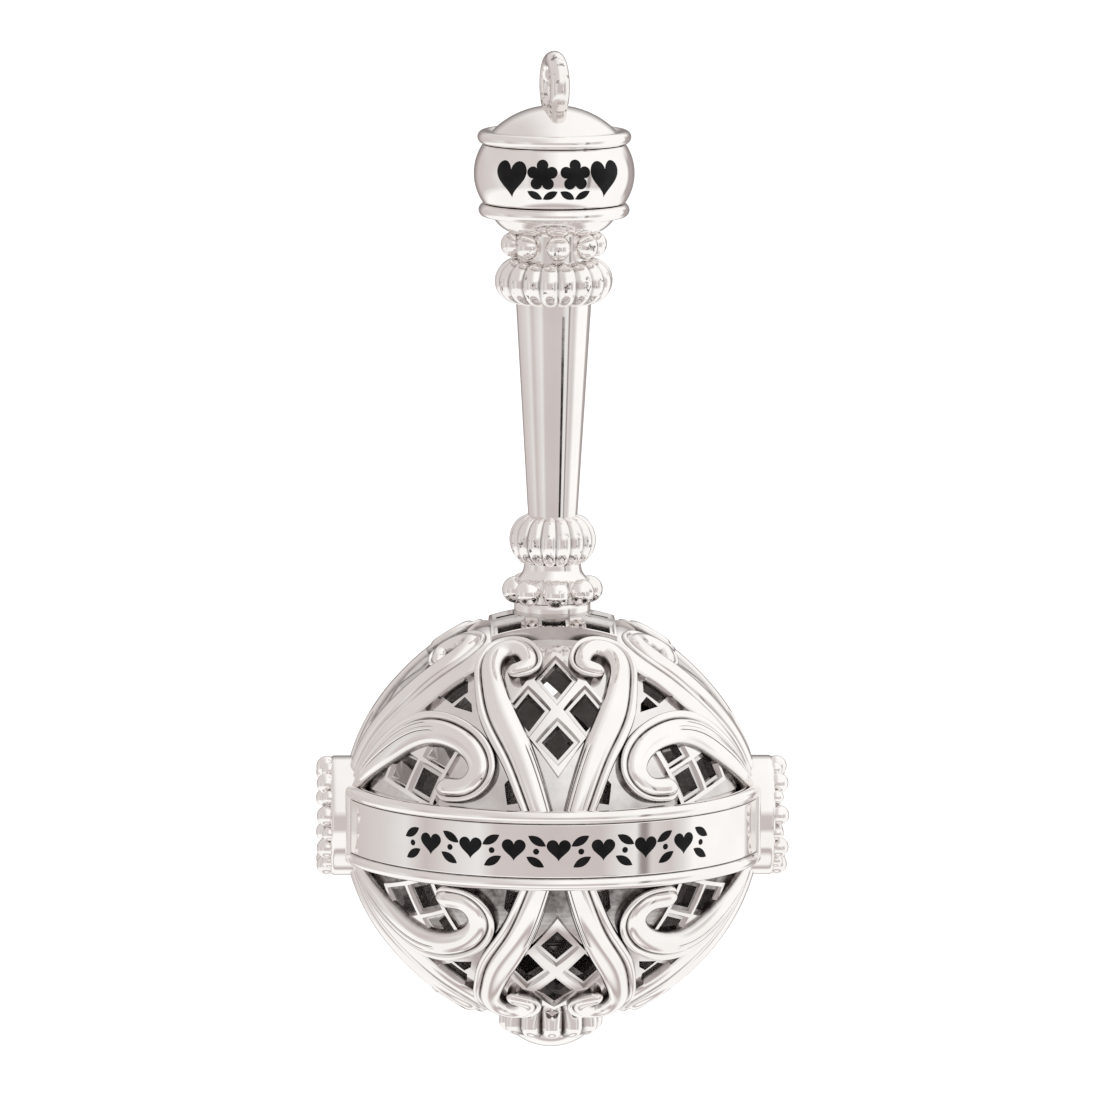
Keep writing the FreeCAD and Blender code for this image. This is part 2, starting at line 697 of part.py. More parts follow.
# ---------------------------------------------------------------- jingle bell
def make_bell_shells():
    """Upper and lower half of the bell; the lower one has a cross of sound slots and the crimp."""
    centre = Vector(0, 0, -BELL_PATH_R)
    ball = Part.makeSphere(BELL_R, centre).cut(Part.makeSphere(BELL_R - BELL_WALL, centre))
    upper = ball.common(slab(-BELL_PATH_R, 0))
    lower = ball.common(slab(-30, -BELL_PATH_R))
    crimp_r = 0.3
    crimp = Part.makeTorus(BELL_R, crimp_r, Vector(0, 0, -BELL_PATH_R - crimp_r), UP)
    lower = lower.fuse(crimp)
    slot_half = 0.5
    slot_reach = 4.3
    slot_end_r = 0.85
    slots = []
    for along_x in (True, False):
        wide = slot_reach if along_x else slot_half
        deep = slot_half if along_x else slot_reach
        corner = Vector(-wide, -deep, -BELL_PATH_R - 7)
        slots.append(Part.makeBox(2 * wide, 2 * deep, 7 - 2, corner))
    for x, y in ((1, 0), (-1, 0), (0, 1), (0, -1)):
        foot = Vector(x * slot_reach, y * slot_reach, -BELL_PATH_R - 7)
        slots.append(Part.makeCylinder(slot_end_r, 5, foot, UP))
    cored = lower.cut(slots)
    return upper, cored.cut(Part.makeSphere(BELL_R - BELL_WALL, centre)).removeSplitter()


# ---------------------------------------------------------------- the whole rattle
os.makedirs("parts", exist_ok=True)

# ring, drum and handle
hanging_loop = make_hanging_loop()
upper_beads = bead_ring(4.1, BEADS_FOOT_Z, BOWL_FOOT_Z, 63.4, 4.45, 1.4, 4.0)
lower_beads = bead_ring(3.9, COLLAR_TOP_Z, FLARE_FOOT_Z, 25.2, 4.07, 1.49, 3.5)
upper_knop = knop(BEADS_FOOT_Z, KNOP_FOOT_Z, 4.2, 6.48, 59.5, 4.2, 18, 3.4)
lower_knop = knop(SHAFT_FOOT_Z, LOWER_KNOP_FOOT_Z, 2.75, 4.77, 30.7, 2.95, 16, 3.8)
drum_inlays = make_drum_inlays()
save("hanging_loop", hanging_loop)
save("loop_nut", nut(3.2, STEM_R + FIT, STEM_FOOT_Z + 0.15, DRUM_TOP_Z))
save("end_cap", make_end_cap(hanging_loop))
save("drum_inlays", drum_inlays)
save("drum", make_drum(drum_inlays))
save("drum_base", make_drum_base(upper_beads))
save("upper_bead_ring", upper_beads)
save("upper_knop", upper_knop)
save("handle_shaft", make_handle_shaft())
save("lower_knop", lower_knop)
save("neck_flare", make_neck_flare(lower_beads))
save("lower_bead_ring", lower_beads)
save("neck_collar", make_neck_collar(lower_beads))
save("tie_rod", round_hole(ROD_R, ROD_FOOT_Z, ROD_TOP_Z))
save("tie_rod_nuts", Part.makeCompound([
    nut(4.0, ROD_R + FIT, BASE_Z, BASE_Z + NUT_HEIGHT),
    nut(4.0, ROD_R + FIT, ROD_FOOT_Z, ROD_FOOT_Z + NUT_HEIGHT),
]))

# ball
right_body = medallion_body()
left_body = flipped_x(right_body)
front_banner = make_banner([right_body, left_body])
rear_banner = turned(front_banner, 180)
banner_inlays = make_banner_inlays()
pierced = pierced_half()
bottom_finial = make_bottom_finial()
crown = make_crown_grille()
trims = [front_banner, rear_banner, right_body, left_body]
scrolls = make_scroll_casting(upper_scroll_blanks(), trims)
right_medallion = make_medallion()
save("crown_grille", crown)
save("upper_lattice", make_upper_lattice(pierced))
save("lower_lattice", make_lower_lattice(pierced))
save("upper_scroll_casting", scrolls.cut(crown))
save("lower_scroll_casting", flipped_z(scrolls).cut(bottom_finial))
save("front_banner", front_banner.cut(banner_inlays.Solids))
save("banner_inlays", banner_inlays)
save("rear_banner", rear_banner)
save("right_medallion", right_medallion)
save("left_medallion", flipped_x(right_medallion))
save("bottom_finial", bottom_finial)
save("finial_screw", make_finial_screw())

# bell
bell_upper, bell_lower = make_bell_shells()
save("bell_upper_shell", bell_upper)
save("bell_lower_shell", bell_lower)
save("bell_pellet", Part.makeSphere(PELLET_R, Vector(0, 0, -BELL_PATH_R - PELLET_PATH_R)))
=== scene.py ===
"""Looks of the baby rattle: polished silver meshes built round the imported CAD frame.

Lengths are in millimetres and heights are measured from the centre of the ball, until put()
turns them into metres in the CAD's own frame.  The front is -Y and the handle points up.
"""
import math

import bpy
import numpy as np
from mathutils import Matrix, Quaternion, Vector


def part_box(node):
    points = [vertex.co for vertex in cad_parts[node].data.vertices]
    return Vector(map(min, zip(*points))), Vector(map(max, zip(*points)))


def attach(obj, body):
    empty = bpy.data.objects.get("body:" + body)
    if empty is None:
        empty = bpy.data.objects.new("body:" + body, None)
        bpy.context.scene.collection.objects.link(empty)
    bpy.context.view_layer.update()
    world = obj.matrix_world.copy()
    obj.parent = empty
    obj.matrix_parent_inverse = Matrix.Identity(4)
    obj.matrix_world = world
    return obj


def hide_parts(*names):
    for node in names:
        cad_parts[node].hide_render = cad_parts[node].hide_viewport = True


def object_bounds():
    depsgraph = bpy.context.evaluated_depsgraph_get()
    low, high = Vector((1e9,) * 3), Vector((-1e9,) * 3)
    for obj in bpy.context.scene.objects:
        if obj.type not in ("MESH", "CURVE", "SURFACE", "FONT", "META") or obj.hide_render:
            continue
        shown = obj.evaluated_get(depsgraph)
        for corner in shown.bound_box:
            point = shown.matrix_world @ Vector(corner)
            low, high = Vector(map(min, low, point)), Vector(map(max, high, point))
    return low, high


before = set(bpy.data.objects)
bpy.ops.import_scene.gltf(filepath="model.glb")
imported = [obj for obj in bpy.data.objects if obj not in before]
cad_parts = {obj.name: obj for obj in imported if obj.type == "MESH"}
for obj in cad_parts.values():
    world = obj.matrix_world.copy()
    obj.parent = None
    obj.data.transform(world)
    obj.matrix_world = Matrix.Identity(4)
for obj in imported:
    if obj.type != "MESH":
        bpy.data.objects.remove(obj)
cad_low, cad_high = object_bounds()

MM = 0.001
BALL = Vector((0.0, 0.0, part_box("upper_lattice")[0].z))     # the half shells meet at the ball's centre

# ---------------------------------------------------------------- sizes shared with the CAD
EYE_Z = -BALL.z / MM
SHELL_IN_R = 20.8
GROUND_R = 21.8             # plain ground of the half shells, between the raised lattice panels
PANEL_R = 22.25
CHART_R = 22.6              # radius on which the flat drawings of scrolls and windows are wrapped
CROWN_R = 23.1
CROWN_IN_R = 21.6
CROWN_HALF = 6.85
BANNER_HALF = 4.35
BANNER_RIM = 0.7
BANNER_FACE_R = 23.35
BANNER_RIM_R = 23.7
BANNER_REACH = 76.0
HEART_ELEVATION = 40.0
HEARTS = (0, 90, 180, 270)
SIDES = (90, 270)
FRONT_AND_BACK = (0, 180)
WAVE_AZIMUTH = 48.0
WAVE_ELEVATION = 23.0


# ---------------------------------------------------------------- building meshes
def new_object(name, data):
    thing = bpy.data.objects.new(name, data)
    bpy.context.scene.collection.objects.link(thing)
    return thing


def put(name, verts, faces, materials, slot, nodes=(), body="rattle", patina_and_shade=None, face_patina_and_shade=None,
        face_slots=None, sharp_degrees=38.0, reflection_specks=None):
    """Makes one piece from points in mm round the ball's centre, and ties it to the frame."""
    mesh = bpy.data.meshes.new(name)
    points = np.asarray(verts, float) * MM
    points[:, 2] += BALL.z
    mesh.from_pydata(points.tolist(), [], faces)
    mesh.update()
    for polygon in mesh.polygons:
        polygon.use_smooth = True
    mesh.set_sharp_from_angle(angle=math.radians(sharp_degrees))
    for material in materials:
        mesh.materials.append(material)
    if face_slots is not None:
        mesh.polygons.foreach_set("material_index", face_slots)
    # patina attribute: real patina in the hollows, and painted shade on the ground near the banners and at
    # the drum's edges
    layer = mesh.attributes.new("patina_and_shade", "FLOAT", "POINT" if face_patina_and_shade is None else "FACE")
    if patina_and_shade is not None or face_patina_and_shade is not None:
        layer.data.foreach_set("value", np.asarray(face_patina_and_shade if patina_and_shade is None else patina_and_shade, np.float32))
    # specks attribute: where painted dark reflection specks go
    if reflection_specks is not None:
        layer = mesh.attributes.new("reflection_specks", "FLOAT", "POINT")
        layer.data.foreach_set("value", np.asarray(reflection_specks, np.float32))
    piece = new_object(name, mesh)
    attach(piece, body)
    if nodes:
        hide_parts(*nodes)
    return piece


def volume(verts, faces):
    """Signed volume of a closed mesh: positive when its faces look outwards."""
    points = np.asarray(verts, float)
    corners = [(face[0], face[i], face[i + 1]) for face in faces for i in range(1, len(face) - 1)]
    a, b, c = (points[[corner[i] for corner in corners]] for i in range(3))
    return float(np.einsum("ij,ij->i", a, np.cross(b, c)).sum() / 6)


class Build:
    """Collects several meshes into one piece."""

    def __init__(self):
        self.verts = []
        self.faces = []
        self.patina_and_shade = []
        self.slots = []

    def add(self, verts, faces, patina_and_shade=None, slot=0):
        if volume(verts, faces) < 0:
            faces = [tuple(reversed(face)) for face in faces]
        start = len(self.verts)
        self.verts.extend([tuple(v) for v in verts])
        self.faces.extend([tuple(i + start for i in face) for face in faces])
        self.patina_and_shade.extend(patina_and_shade if patina_and_shade is not None else [0.0] * len(verts))
        self.slots.extend(slot if isinstance(slot, list) else [slot] * len(faces))

    def copy(self, other, change):
        """Adds another build's mesh with every point moved by change(points)."""
        self.add(change(np.array(other.verts, float)), other.faces, list(other.patina_and_shade), list(other.slots))

    def put(self, name, materials, slot, nodes=(), **more):
        return put(name, self.verts, self.faces, materials, slot, nodes, patina_and_shade=self.patina_and_shade,
                   face_slots=self.slots, **more)


def turn_z(points, degrees):
    a = math.radians(degrees)
    turned = points.copy()
    turned[:, 0] = points[:, 0] * math.cos(a) - points[:, 1] * math.sin(a)
    turned[:, 1] = points[:, 0] * math.sin(a) + points[:, 1] * math.cos(a)
    return turned


def mirror(points, axis):
    flipped = points.copy()
    flipped[:, axis] *= -1
    return flipped


def arc(centre, radius, start, end, steps):
    """Points (r, z) on a circle of a lathe profile, between two angles in degrees."""
    points = []
    for i in range(steps + 1):
        a = math.radians(start + (end - start) * i / steps)
        points.append((centre[0] + radius * math.cos(a), centre[1] + radius * math.sin(a)))
    return points


def bow(a, b, rise, steps):
    """Points on a shallow arc from a to b that bulges by `rise` to the right of the way it goes."""
    points = []
    length = math.hypot(b[0] - a[0], b[1] - a[1])
    side = ((b[1] - a[1]) / length, -(b[0] - a[0]) / length)
    for i in range(steps + 1):
        t = i / steps
        bulge = rise * 4 * t * (1 - t)
        r = a[0] + (b[0] - a[0]) * t + side[0] * bulge
        z = a[1] + (b[1] - a[1]) * t + side[1] * bulge
        points.append((r, z))
    return points


def capped_rings(rings, count):
    """Faces over a first point, then rings of `count` points each, then a last point."""
    faces = []
    end = 1 + (rings - 1) * count
    for k in range(count):
        n = (k + 1) % count
        faces.append((0, 1 + n, 1 + k))
        for ring in range(rings - 1):
            a = 1 + ring * count
            b = a + count
            faces.append((a + k, a + n, b + n, b + k))
        faces.append((end + k, end + n, end + count))
    return faces


def lathe(profile, segments=144, shape=None, patina_and_shade=None):
    """Turns a profile of (r, z) points, from the axis at the foot to the axis at the top.

    shape(r, z, angle) may move a point; the profile's first and last points lie on the axis.
    """
    verts = [(0.0, 0.0, profile[0][1])]
    for r, z in profile[1:-1]:
        for k in range(segments):
            angle = 2 * math.pi * k / segments
            rr, zz = shape(r, z, angle) if shape else (r, z)
            verts.append((rr * math.cos(angle), rr * math.sin(angle), zz))
    verts.append((0.0, 0.0, profile[-1][1]))
    faces = capped_rings(len(profile) - 2, segments)
    patina_shade_values = [0.0] * len(verts)
    if patina_and_shade:
        patina_shade_values = [patina_and_shade(math.hypot(v[0], v[1]), v[2]) for v in verts]
    return verts, faces, patina_shade_values


def ball_mesh(radius, centre, rings=16, segments=32):
    profile = [(radius * math.sin(math.pi * i / rings), -radius * math.cos(math.pi * i / rings))
               for i in range(rings + 1)]
    verts, faces, _ = lathe(profile, segments)
    return [(x + centre[0], y + centre[1], z + centre[2]) for x, y, z in verts], faces


def sweep(sections, closed=False):
    """Skins a list of equal closed sections; open ends are capped."""
    count = len(sections[0])
    verts = [p for section in sections for p in section]
    faces = []
    last = len(sections) if closed else len(sections) - 1
    for i in range(last):
        a = i * count
        b = ((i + 1) % len(sections)) * count
        for k in range(count):
            n = (k + 1) % count
            faces.append((a + k, b + k, b + n, a + n))
    if not closed:
        faces.append(tuple(range(count)))
        faces.append(tuple(reversed(range((len(sections) - 1) * count, len(sections) * count))))
    return verts, faces


def spline(points, count):
    """Natural cubic spline through points, parametrised by the length of its chords in the plane."""
    p = np.array(points, float)
    steps = np.hypot(*(np.diff(p[:, :2], axis=0).T))
    at = np.concatenate([[0], np.cumsum(steps)])
    n = len(p)
    system = np.zeros((n, n))
    right = np.zeros_like(p)
    system[0, 0] = system[-1, -1] = 1
    for i in range(1, n - 1):
        h0 = at[i] - at[i - 1]
        h1 = at[i + 1] - at[i]
        system[i, i - 1:i + 2] = (h0, 2 * (h0 + h1), h1)
        right[i] = 6 * ((p[i + 1] - p[i]) / h1 - (p[i] - p[i - 1]) / h0)
    bend = np.linalg.solve(system, right)
    out = []
    for s in np.linspace(0, at[-1], count):
        i = min(max(np.searchsorted(at, s) - 1, 0), n - 2)
        h = at[i + 1] - at[i]
        a = (at[i + 1] - s) / h
        b = (s - at[i]) / h
        value = a * p[i] + b * p[i + 1] + ((a ** 3 - a) * bend[i] + (b ** 3 - b) * bend[i + 1]) * h * h / 6
        out.append(value)
    return np.array(out)


def turned_copies(build, source, azimuths, pairs=True):
    """Adds copies of a build turned to each azimuth, each with its mirror image when pairs is set."""
    for azimuth in azimuths:
        build.copy(source, lambda p: turn_z(p, azimuth))
        if pairs:
            build.copy(source, lambda p: turn_z(mirror(p, 0), azimuth))


class Chart:
    """A drawing plane that touches the ball at one azimuth and elevation."""

    def __init__(self, azimuth, elevation):
        a = math.radians(azimuth)
        e = math.radians(elevation)
        self.out = np.array((math.cos(e) * math.sin(a), -math.cos(e) * math.cos(a), math.sin(e)))
        self.right = np.array((math.cos(a), math.sin(a), 0))
        self.up = np.array((-math.sin(e) * math.sin(a), math.sin(e) * math.cos(a), math.cos(e)))

    def at(self, u, w, height):
        return self.out * height + self.right * u + self.up * w

    def wrap(self, u, w, radius):
        """The point at drawing position (u, w), at a given distance from the ball's centre."""
        depth = math.sqrt(max(CHART_R ** 2 - u * u - w * w, 0.01))
        way = self.out * depth + self.right * u + self.up * w
        return way * (radius / np.linalg.norm(way))


# ---------------------------------------------------------------- materials
def new_material(name, metallic, roughness):
    material = bpy.data.materials.new(name)
    material.use_nodes = True
    tree = material.node_tree
    shader = tree.nodes["Principled BSDF"]
    shader.inputs["Metallic"].default_value = metallic
    shader.inputs["Roughness"].default_value = roughness
    return material, tree, shader


def noise(tree, scale, detail, roughness=0.55):
    """A noise texture in the object's own coordinates, whose unit is the metre."""
    coords = tree.nodes.new("ShaderNodeTexCoord")
    texture = tree.nodes.new("ShaderNodeTexNoise")
    texture.inputs["Scale"].default_value = scale
    texture.inputs["Detail"].default_value = detail
    texture.inputs["Roughness"].default_value = roughness
    tree.links.new(coords.outputs["Object"], texture.inputs["Vector"])
    return texture.outputs["Fac"]


def spread(tree, scale, detail, to_low, to_high):
    """Noise whose usual range is spread between two values."""
    return map_range(tree, noise(tree, scale, detail), 0.3, 0.7, to_low, to_high)


def map_range(tree, value, low, high, to_low, to_high):
    node = tree.nodes.new("ShaderNodeMapRange")
    node.inputs["From Min"].default_value = low
    node.inputs["From Max"].default_value = high
    node.inputs["To Min"].default_value = to_low
    node.inputs["To Max"].default_value = to_high
    tree.links.new(value, node.inputs["Value"])
    return node.outputs["Result"]


def math_node(tree, operation, a, b, clamp=True):
    node = tree.nodes.new("ShaderNodeMath")
    node.operation = operation
    node.use_clamp = clamp
    for socket, value in zip(node.inputs, (a, b)):
        if isinstance(value, float):
            socket.default_value = value
        else:
            tree.links.new(value, socket)
    return node.outputs["Value"]


def mix_colour(tree, fac, a, b):
    node = tree.nodes.new("ShaderNodeMix")
    node.data_type = "RGBA"
    tree.links.new(fac, node.inputs["Factor"])
    for socket, value in ((node.inputs["A"], a), (node.inputs["B"], b)):
        if isinstance(value, tuple):
            socket.default_value = value
        else:
            tree.links.new(value, socket)
    return node.outputs["Result"]


def bump(tree, shader, height, distance, strength):
    node = tree.nodes.new("ShaderNodeBump")
    node.inputs["Strength"].default_value = strength
    node.inputs["Distance"].default_value = distance
    tree.links.new(height, node.inputs["Height"])
    if shader.inputs["Normal"].is_linked:
        tree.links.new(shader.inputs["Normal"].links[0].from_socket, node.inputs["Normal"])
    tree.links.new(node.outputs["Normal"], shader.inputs["Normal"])


SILVER = (0.91, 0.885, 0.875, 1.0)
SILVER_WARM = (0.85, 0.815, 0.80, 1.0)
# dark colour for real patina, for painted shade and for painted reflection specks
PATINA_SHADE_AND_REFLECTION = (0.075, 0.058, 0.055, 1.0)


def silver_material(name, tone, patina_shade_gain):
    """Polished silver plate: faint tone drift, hairline wear, dark patina with painted shade where the patina
    attribute says, and painted dark reflection specks where the specks attribute says.
    """
    material, tree, shader = new_material(name, 1.0, 0.1)
    drift = map_range(tree, noise(tree, 90.0, 3.0), 0.35, 0.7, 0.0, 1.0)
    plate = mix_colour(tree, drift, SILVER, tone)
    # the patina attribute holds real patina in the hollows and painted shade near the banners and at the
    # drum's edges
    attribute = tree.nodes.new("ShaderNodeAttribute")
    attribute.attribute_name = "patina_and_shade"
    blotch = spread(tree, 900.0, 4.0, 0.75, 1.2)
    patina_shade_and_reflection = math_node(tree, "MULTIPLY", attribute.outputs["Fac"], blotch)
    patina_shade_and_reflection = math_node(tree, "MULTIPLY", patina_shade_and_reflection, patina_shade_gain)
    # painted reflection: dark specks standing for the camera and its stand mirrored on beads, lobes and the
    # ring
    reflection_mask = tree.nodes.new("ShaderNodeAttribute")
    reflection_mask.attribute_name = "reflection_specks"
    reflection_spots = map_range(tree, noise(tree, 1300.0, 3.0, 0.65), 0.585, 0.635, 0.0, 0.85)
    patina_shade_and_reflection = math_node(tree, "MAXIMUM", patina_shade_and_reflection, math_node(tree, "MULTIPLY", reflection_spots, reflection_mask.outputs["Fac"]))
    tree.links.new(mix_colour(tree, patina_shade_and_reflection, plate, PATINA_SHADE_AND_REFLECTION), shader.inputs["Base Color"])
    wear = map_range(tree, noise(tree, 420.0, 6.0, 0.7), 0.3, 0.75, 0.025, 0.08)
    rough = math_node(tree, "ADD", wear, math_node(tree, "MULTIPLY", patina_shade_and_reflection, 0.3))
    tree.links.new(rough, shader.inputs["Roughness"])
    bump(tree, shader, noise(tree, 260.0, 2.0), 0.00001, 0.35)
    bump(tree, shader, noise(tree, 5200.0, 3.0), 0.000002, 0.3)
    return material


def dark_inside_material():
    """Inside of the half shells, dulled by tarnish."""
    material, tree, shader = new_material("tarnished_inside", 0.25, 0.5)
    spots = spread(tree, 500.0, 5.0, 0.0, 1.0)
    colour = mix_colour(tree, spots, (0.52, 0.485, 0.47, 1.0), (0.74, 0.70, 0.685, 1.0))
    tree.links.new(colour, shader.inputs["Base Color"])
    tree.links.new(spread(tree, 800.0, 3.0, 0.35, 0.6), shader.inputs["Roughness"])
    bump(tree, shader, noise(tree, 1500.0, 4.0), 0.00002, 0.4)
    return material


def enamel_material():
    material, tree, shader = new_material("black_enamel", 0.0, 0.12)
    shader.inputs["Specular IOR Level"].default_value = 0.12
    drift = spread(tree, 700.0, 3.0, 0.0, 1.0)
    colour = mix_colour(tree, drift, (0.004, 0.004, 0.005, 1.0), (0.012, 0.011, 0.012, 1.0))
    tree.links.new(colour, shader.inputs["Base Color"])
    tree.links.new(spread(tree, 900.0, 4.0, 0.08, 0.2), shader.inputs["Roughness"])
    bump(tree, shader, noise(tree, 1400.0, 2.0), 0.00001, 0.3)
    return material


def metal_material(name, light, dark, rough_low, rough_high, scale):
    """Plain worked metal for the fixings and the bell."""
    material, tree, shader = new_material(name, 1.0, 0.3)
    drift = spread(tree, scale, 4.0, 0.0, 1.0)
    tree.links.new(mix_colour(tree, drift, light, dark), shader.inputs["Base Color"])
    tree.links.new(spread(tree, scale * 3, 5.0, rough_low, rough_high), shader.inputs["Roughness"])
    bump(tree, shader, noise(tree, scale * 5, 3.0), 0.000008, 0.4)
    return material


silver = silver_material("silver_plate", SILVER_WARM, 0.8)
scroll_silver = silver_material("scroll_silver", SILVER_WARM, 1.0)
lattice_silver = silver_material("lattice_silver", (0.80, 0.765, 0.75, 1.0), 1.0)
inside_dark = dark_inside_material()
enamel = enamel_material()
steel = metal_material(
    "turned_steel", (0.55, 0.54, 0.53, 1.0), (0.42, 0.41, 0.40, 1.0), 0.2, 0.4, 900.0)
bell_metal = metal_material(
    "bell_nickel", (0.20, 0.19, 0.185, 1.0), (0.12, 0.115, 0.11, 1.0), 0.18, 0.34, 500.0)


# ---------------------------------------------------------------- ring, drum and handle
RING_R = 2.75
RING_WIRE_R = 1.05
RING_TURN = 11.0
DRUM_TOP_Z = 74.45
BASE_Z = 68.0
CAP_APEX_Z = 78.65


def put_turned(name, node, profile, segments=144, patina_and_shade=None):
    """A piece of plain silver turned from one profile."""
    verts, faces, patina_shade_values = lathe(profile, segments, patina_and_shade=patina_and_shade)
    put(name, verts, faces, [silver], "silver", [node], patina_and_shade=patina_shade_values)


def build_hanging_loop():
    build = Build()
    sections = []
    turn = math.radians(RING_TURN)
    plane = np.array((-math.sin(turn), math.cos(turn), 0.0))
    axis = np.array((math.cos(turn), math.sin(turn), 0.0))
    rings = 96
    wire_points = 28
    for i in range(rings):
        a = 2 * math.pi * i / rings
        way = plane * math.sin(a) + np.array((0, 0, 1.0)) * math.cos(a)
        centre = np.array((0, 0, EYE_Z)) + way * RING_R
        section = []
        for k in range(wire_points):
            b = 2 * math.pi * k / wire_points
            section.append(centre + (way * math.cos(b) + axis * math.sin(b)) * RING_WIRE_R)
        sections.append(section)
    verts, faces = sweep(sections, closed=True)
    build.add(verts, faces)
    stem, stem_faces, _ = lathe([(0, 73.0), (0.7, 73.0), (0.8, 73.15), (0.8, 77.4), (0, 77.4)], 32)
    build.add(stem, stem_faces)
    # painted reflection: dark specks spread over the whole ring and stem
    reflection_specks = np.full(len(build.verts), 0.8)
    build.put("hanging_ring", [silver], "silver", ["hanging_loop"], reflection_specks=reflection_specks)


def build_end_cap():
    dome_r = 9.6
    dome_centre = CAP_APEX_Z - dome_r
    rim_z = DRUM_TOP_Z + 0.75
    rim = (7.7, rim_z)
    profile = [(0, DRUM_TOP_Z), (7.0, DRUM_TOP_Z)]
    profile += arc(rim, 0.72, -118, 128, 26)
    profile += [(7.08, rim_z + 0.43), (6.93, rim_z + 0.45)]
    edge = math.degrees(math.acos(6.7 / dome_r))
    profile += arc((0, dome_centre), dome_r, edge, 90, 36)
    put_turned("domed_cap", "end_cap", profile,
               patina_and_shade=lambda r, z: 0.35 if 6.9 < r < 7.12 and z > rim_z + 0.4 else 0.0)


def drum_radius(z):
    """Barrel face of the drum: an arc through both edges and the widest middle."""
    edge_r = 7.8
    middle_r = 8.8
    half = (DRUM_TOP_Z - BASE_Z) / 2
    rise = middle_r - edge_r
    arc_r = (half * half + rise * rise) / (2 * rise)
    return middle_r - arc_r + math.sqrt(arc_r ** 2 - (z - BASE_Z - half) ** 2)


def build_drum():
    steps = 40
    gap = 0.015
    profile = [(0, BASE_Z + gap), (7.6, BASE_Z + gap)]
    for i in range(steps + 1):
        z = BASE_Z + 0.05 + (DRUM_TOP_Z - BASE_Z - 0.1) * i / steps
        profile.append((drum_radius(z), z))
    profile += [(7.6, DRUM_TOP_Z - gap), (0, DRUM_TOP_Z - gap)]
    # painted shade: the drum's thin edge faces are darkened in the gaps against the cap and the foot
    put_turned("drum_barrel", "drum", profile, patina_and_shade=lambda r, z: 0.1 if r < 7.7 else 0.0)


def build_drum_base():
    rim = (7.52, 67.2)
    profile = [(0, 64.6), (4.35, 64.6)]
    profile += bow((4.45, 64.62), (6.75, 66.42), 0.28, 14)
    profile += [(6.9, 66.6)]
    profile += arc(rim, 0.75, -128, 92, 24)
    profile += [(7.3, 67.98), (0, 67.98)]
    put_turned("drum_foot", "drum_base", profile,
               patina_and_shade=lambda r, z: 0.4 if 6.8 < r < 7.1 and z < 66.7 else 0.0)


def build_bead_ring(name, node, core_profile, bead_z, ring_r, bead_r, first):
    build = Build()
    verts, faces, patina_shade_values = lathe(core_profile, 96, patina_and_shade=lambda r, z: 0.06)
    build.add(verts, faces, patina_shade_values)
    count = 8
    for i in range(count):
        a = math.radians(first - 90 + 360.0 * i / count)
        centre = (ring_r * math.cos(a), ring_r * math.sin(a), bead_z)
        build.add(*ball_mesh(bead_r, centre, 28, 56))
    # painted reflection: dark specks on the outward middle of each bead, where the camera would mirror
    points = np.asarray(build.verts, float)
    reach = np.hypot(points[:, 0], points[:, 1]) - ring_r
    off_middle = np.abs(points[:, 2] - (bead_z - 0.2 * bead_r))
    outside = np.clip((reach - 0.55 * bead_r) / (0.2 * bead_r), 0, 1)
    reflection_specks = outside * np.clip(2.2 - off_middle / (0.3 * bead_r), 0, 1)
    build.put(name, [silver], "silver", [node], reflection_specks=reflection_specks)


def build_knop(name, node, foot, top, centre_r, half_width, middle_z, half_height, lobes, first, core_r):
    """A gadrooned collar: round lobes with cusped grooves between them, all round a core."""
    cut = 0.80
    phase = math.radians(first - 90)

    def crest(angle):
        """1 along the middle of a lobe, 0 in the groove between two."""
        return abs(math.cos(lobes * (angle - phase) / 2 + math.pi / 2))

    def shape(r, z, angle):
        lobe = crest(angle) ** 0.62
        grow = cut + (1 - cut) * lobe
        if r <= core_r + 1e-6:
            return r, z
        return core_r + (r - core_r) * grow, middle_z + (z - middle_z) * (0.9 + 0.1 * lobe)

    profile = [(0, foot), (core_r, foot)]
    steps = 30
    ends = 100
    for i in range(steps + 1):
        a = math.radians(-ends + 2 * ends * i / steps)
        profile.append((centre_r + half_width * math.cos(a), middle_z + half_height * math.sin(a)))
    profile += [(core_r, top), (0, top)]
    verts, faces, _ = lathe(profile, lobes * 14, shape)
    patina_shade_values = []
    # specks: painted dark reflection specks on the middle of each lobe's crest
    reflection_specks = []
    for x, y, z in verts:
        lobe = crest(math.atan2(y, x))
        patina_shade_values.append(max(0.0, 1.0 - lobe / 0.22) * 0.9)
        off_middle = abs(z - middle_z + 0.15 * half_height) / half_height
        reflection_specks.append(min(max((lobe - 0.5) / 0.2, 0.0), 1.0) * min(max((0.62 - off_middle) / 0.2, 0.0), 1.0))
    put(name, verts, faces, [silver], "silver", [node], patina_and_shade=patina_shade_values, reflection_specks=reflection_specks)


def build_shaft():
    profile = [(0, 33.3), (2.7, 33.3), (2.72, 33.75)]
    steps = 24
    for i in range(1, steps):
        t = i / steps
        profile.append((2.73 + (4.11 - 2.73) * t, 33.75 + (56.7 - 33.75) * t))
    profile += [(4.11, 56.7), (4.11, 56.95), (4.0, 57.08), (0, 57.08)]
    put_turned("tapered_shaft", "handle_shaft", profile)


def build_neck():
    profile = [(0, 26.4), (3.95, 26.4)]
    profile += arc((5.0, 27.95), 1.85, 236, 184, 14)
    profile += [(3.1, 28.22), (0, 28.22)]
    put_turned("neck_flare_turned", "neck_flare", profile, 96)
    profile = [(0, 22.9), (4.05, 22.9), (4.2, 23.02), (4.2, 23.75), (4.08, 23.95), (0, 23.95)]
    put_turned("neck_collar_turned", "neck_collar", profile, 96)


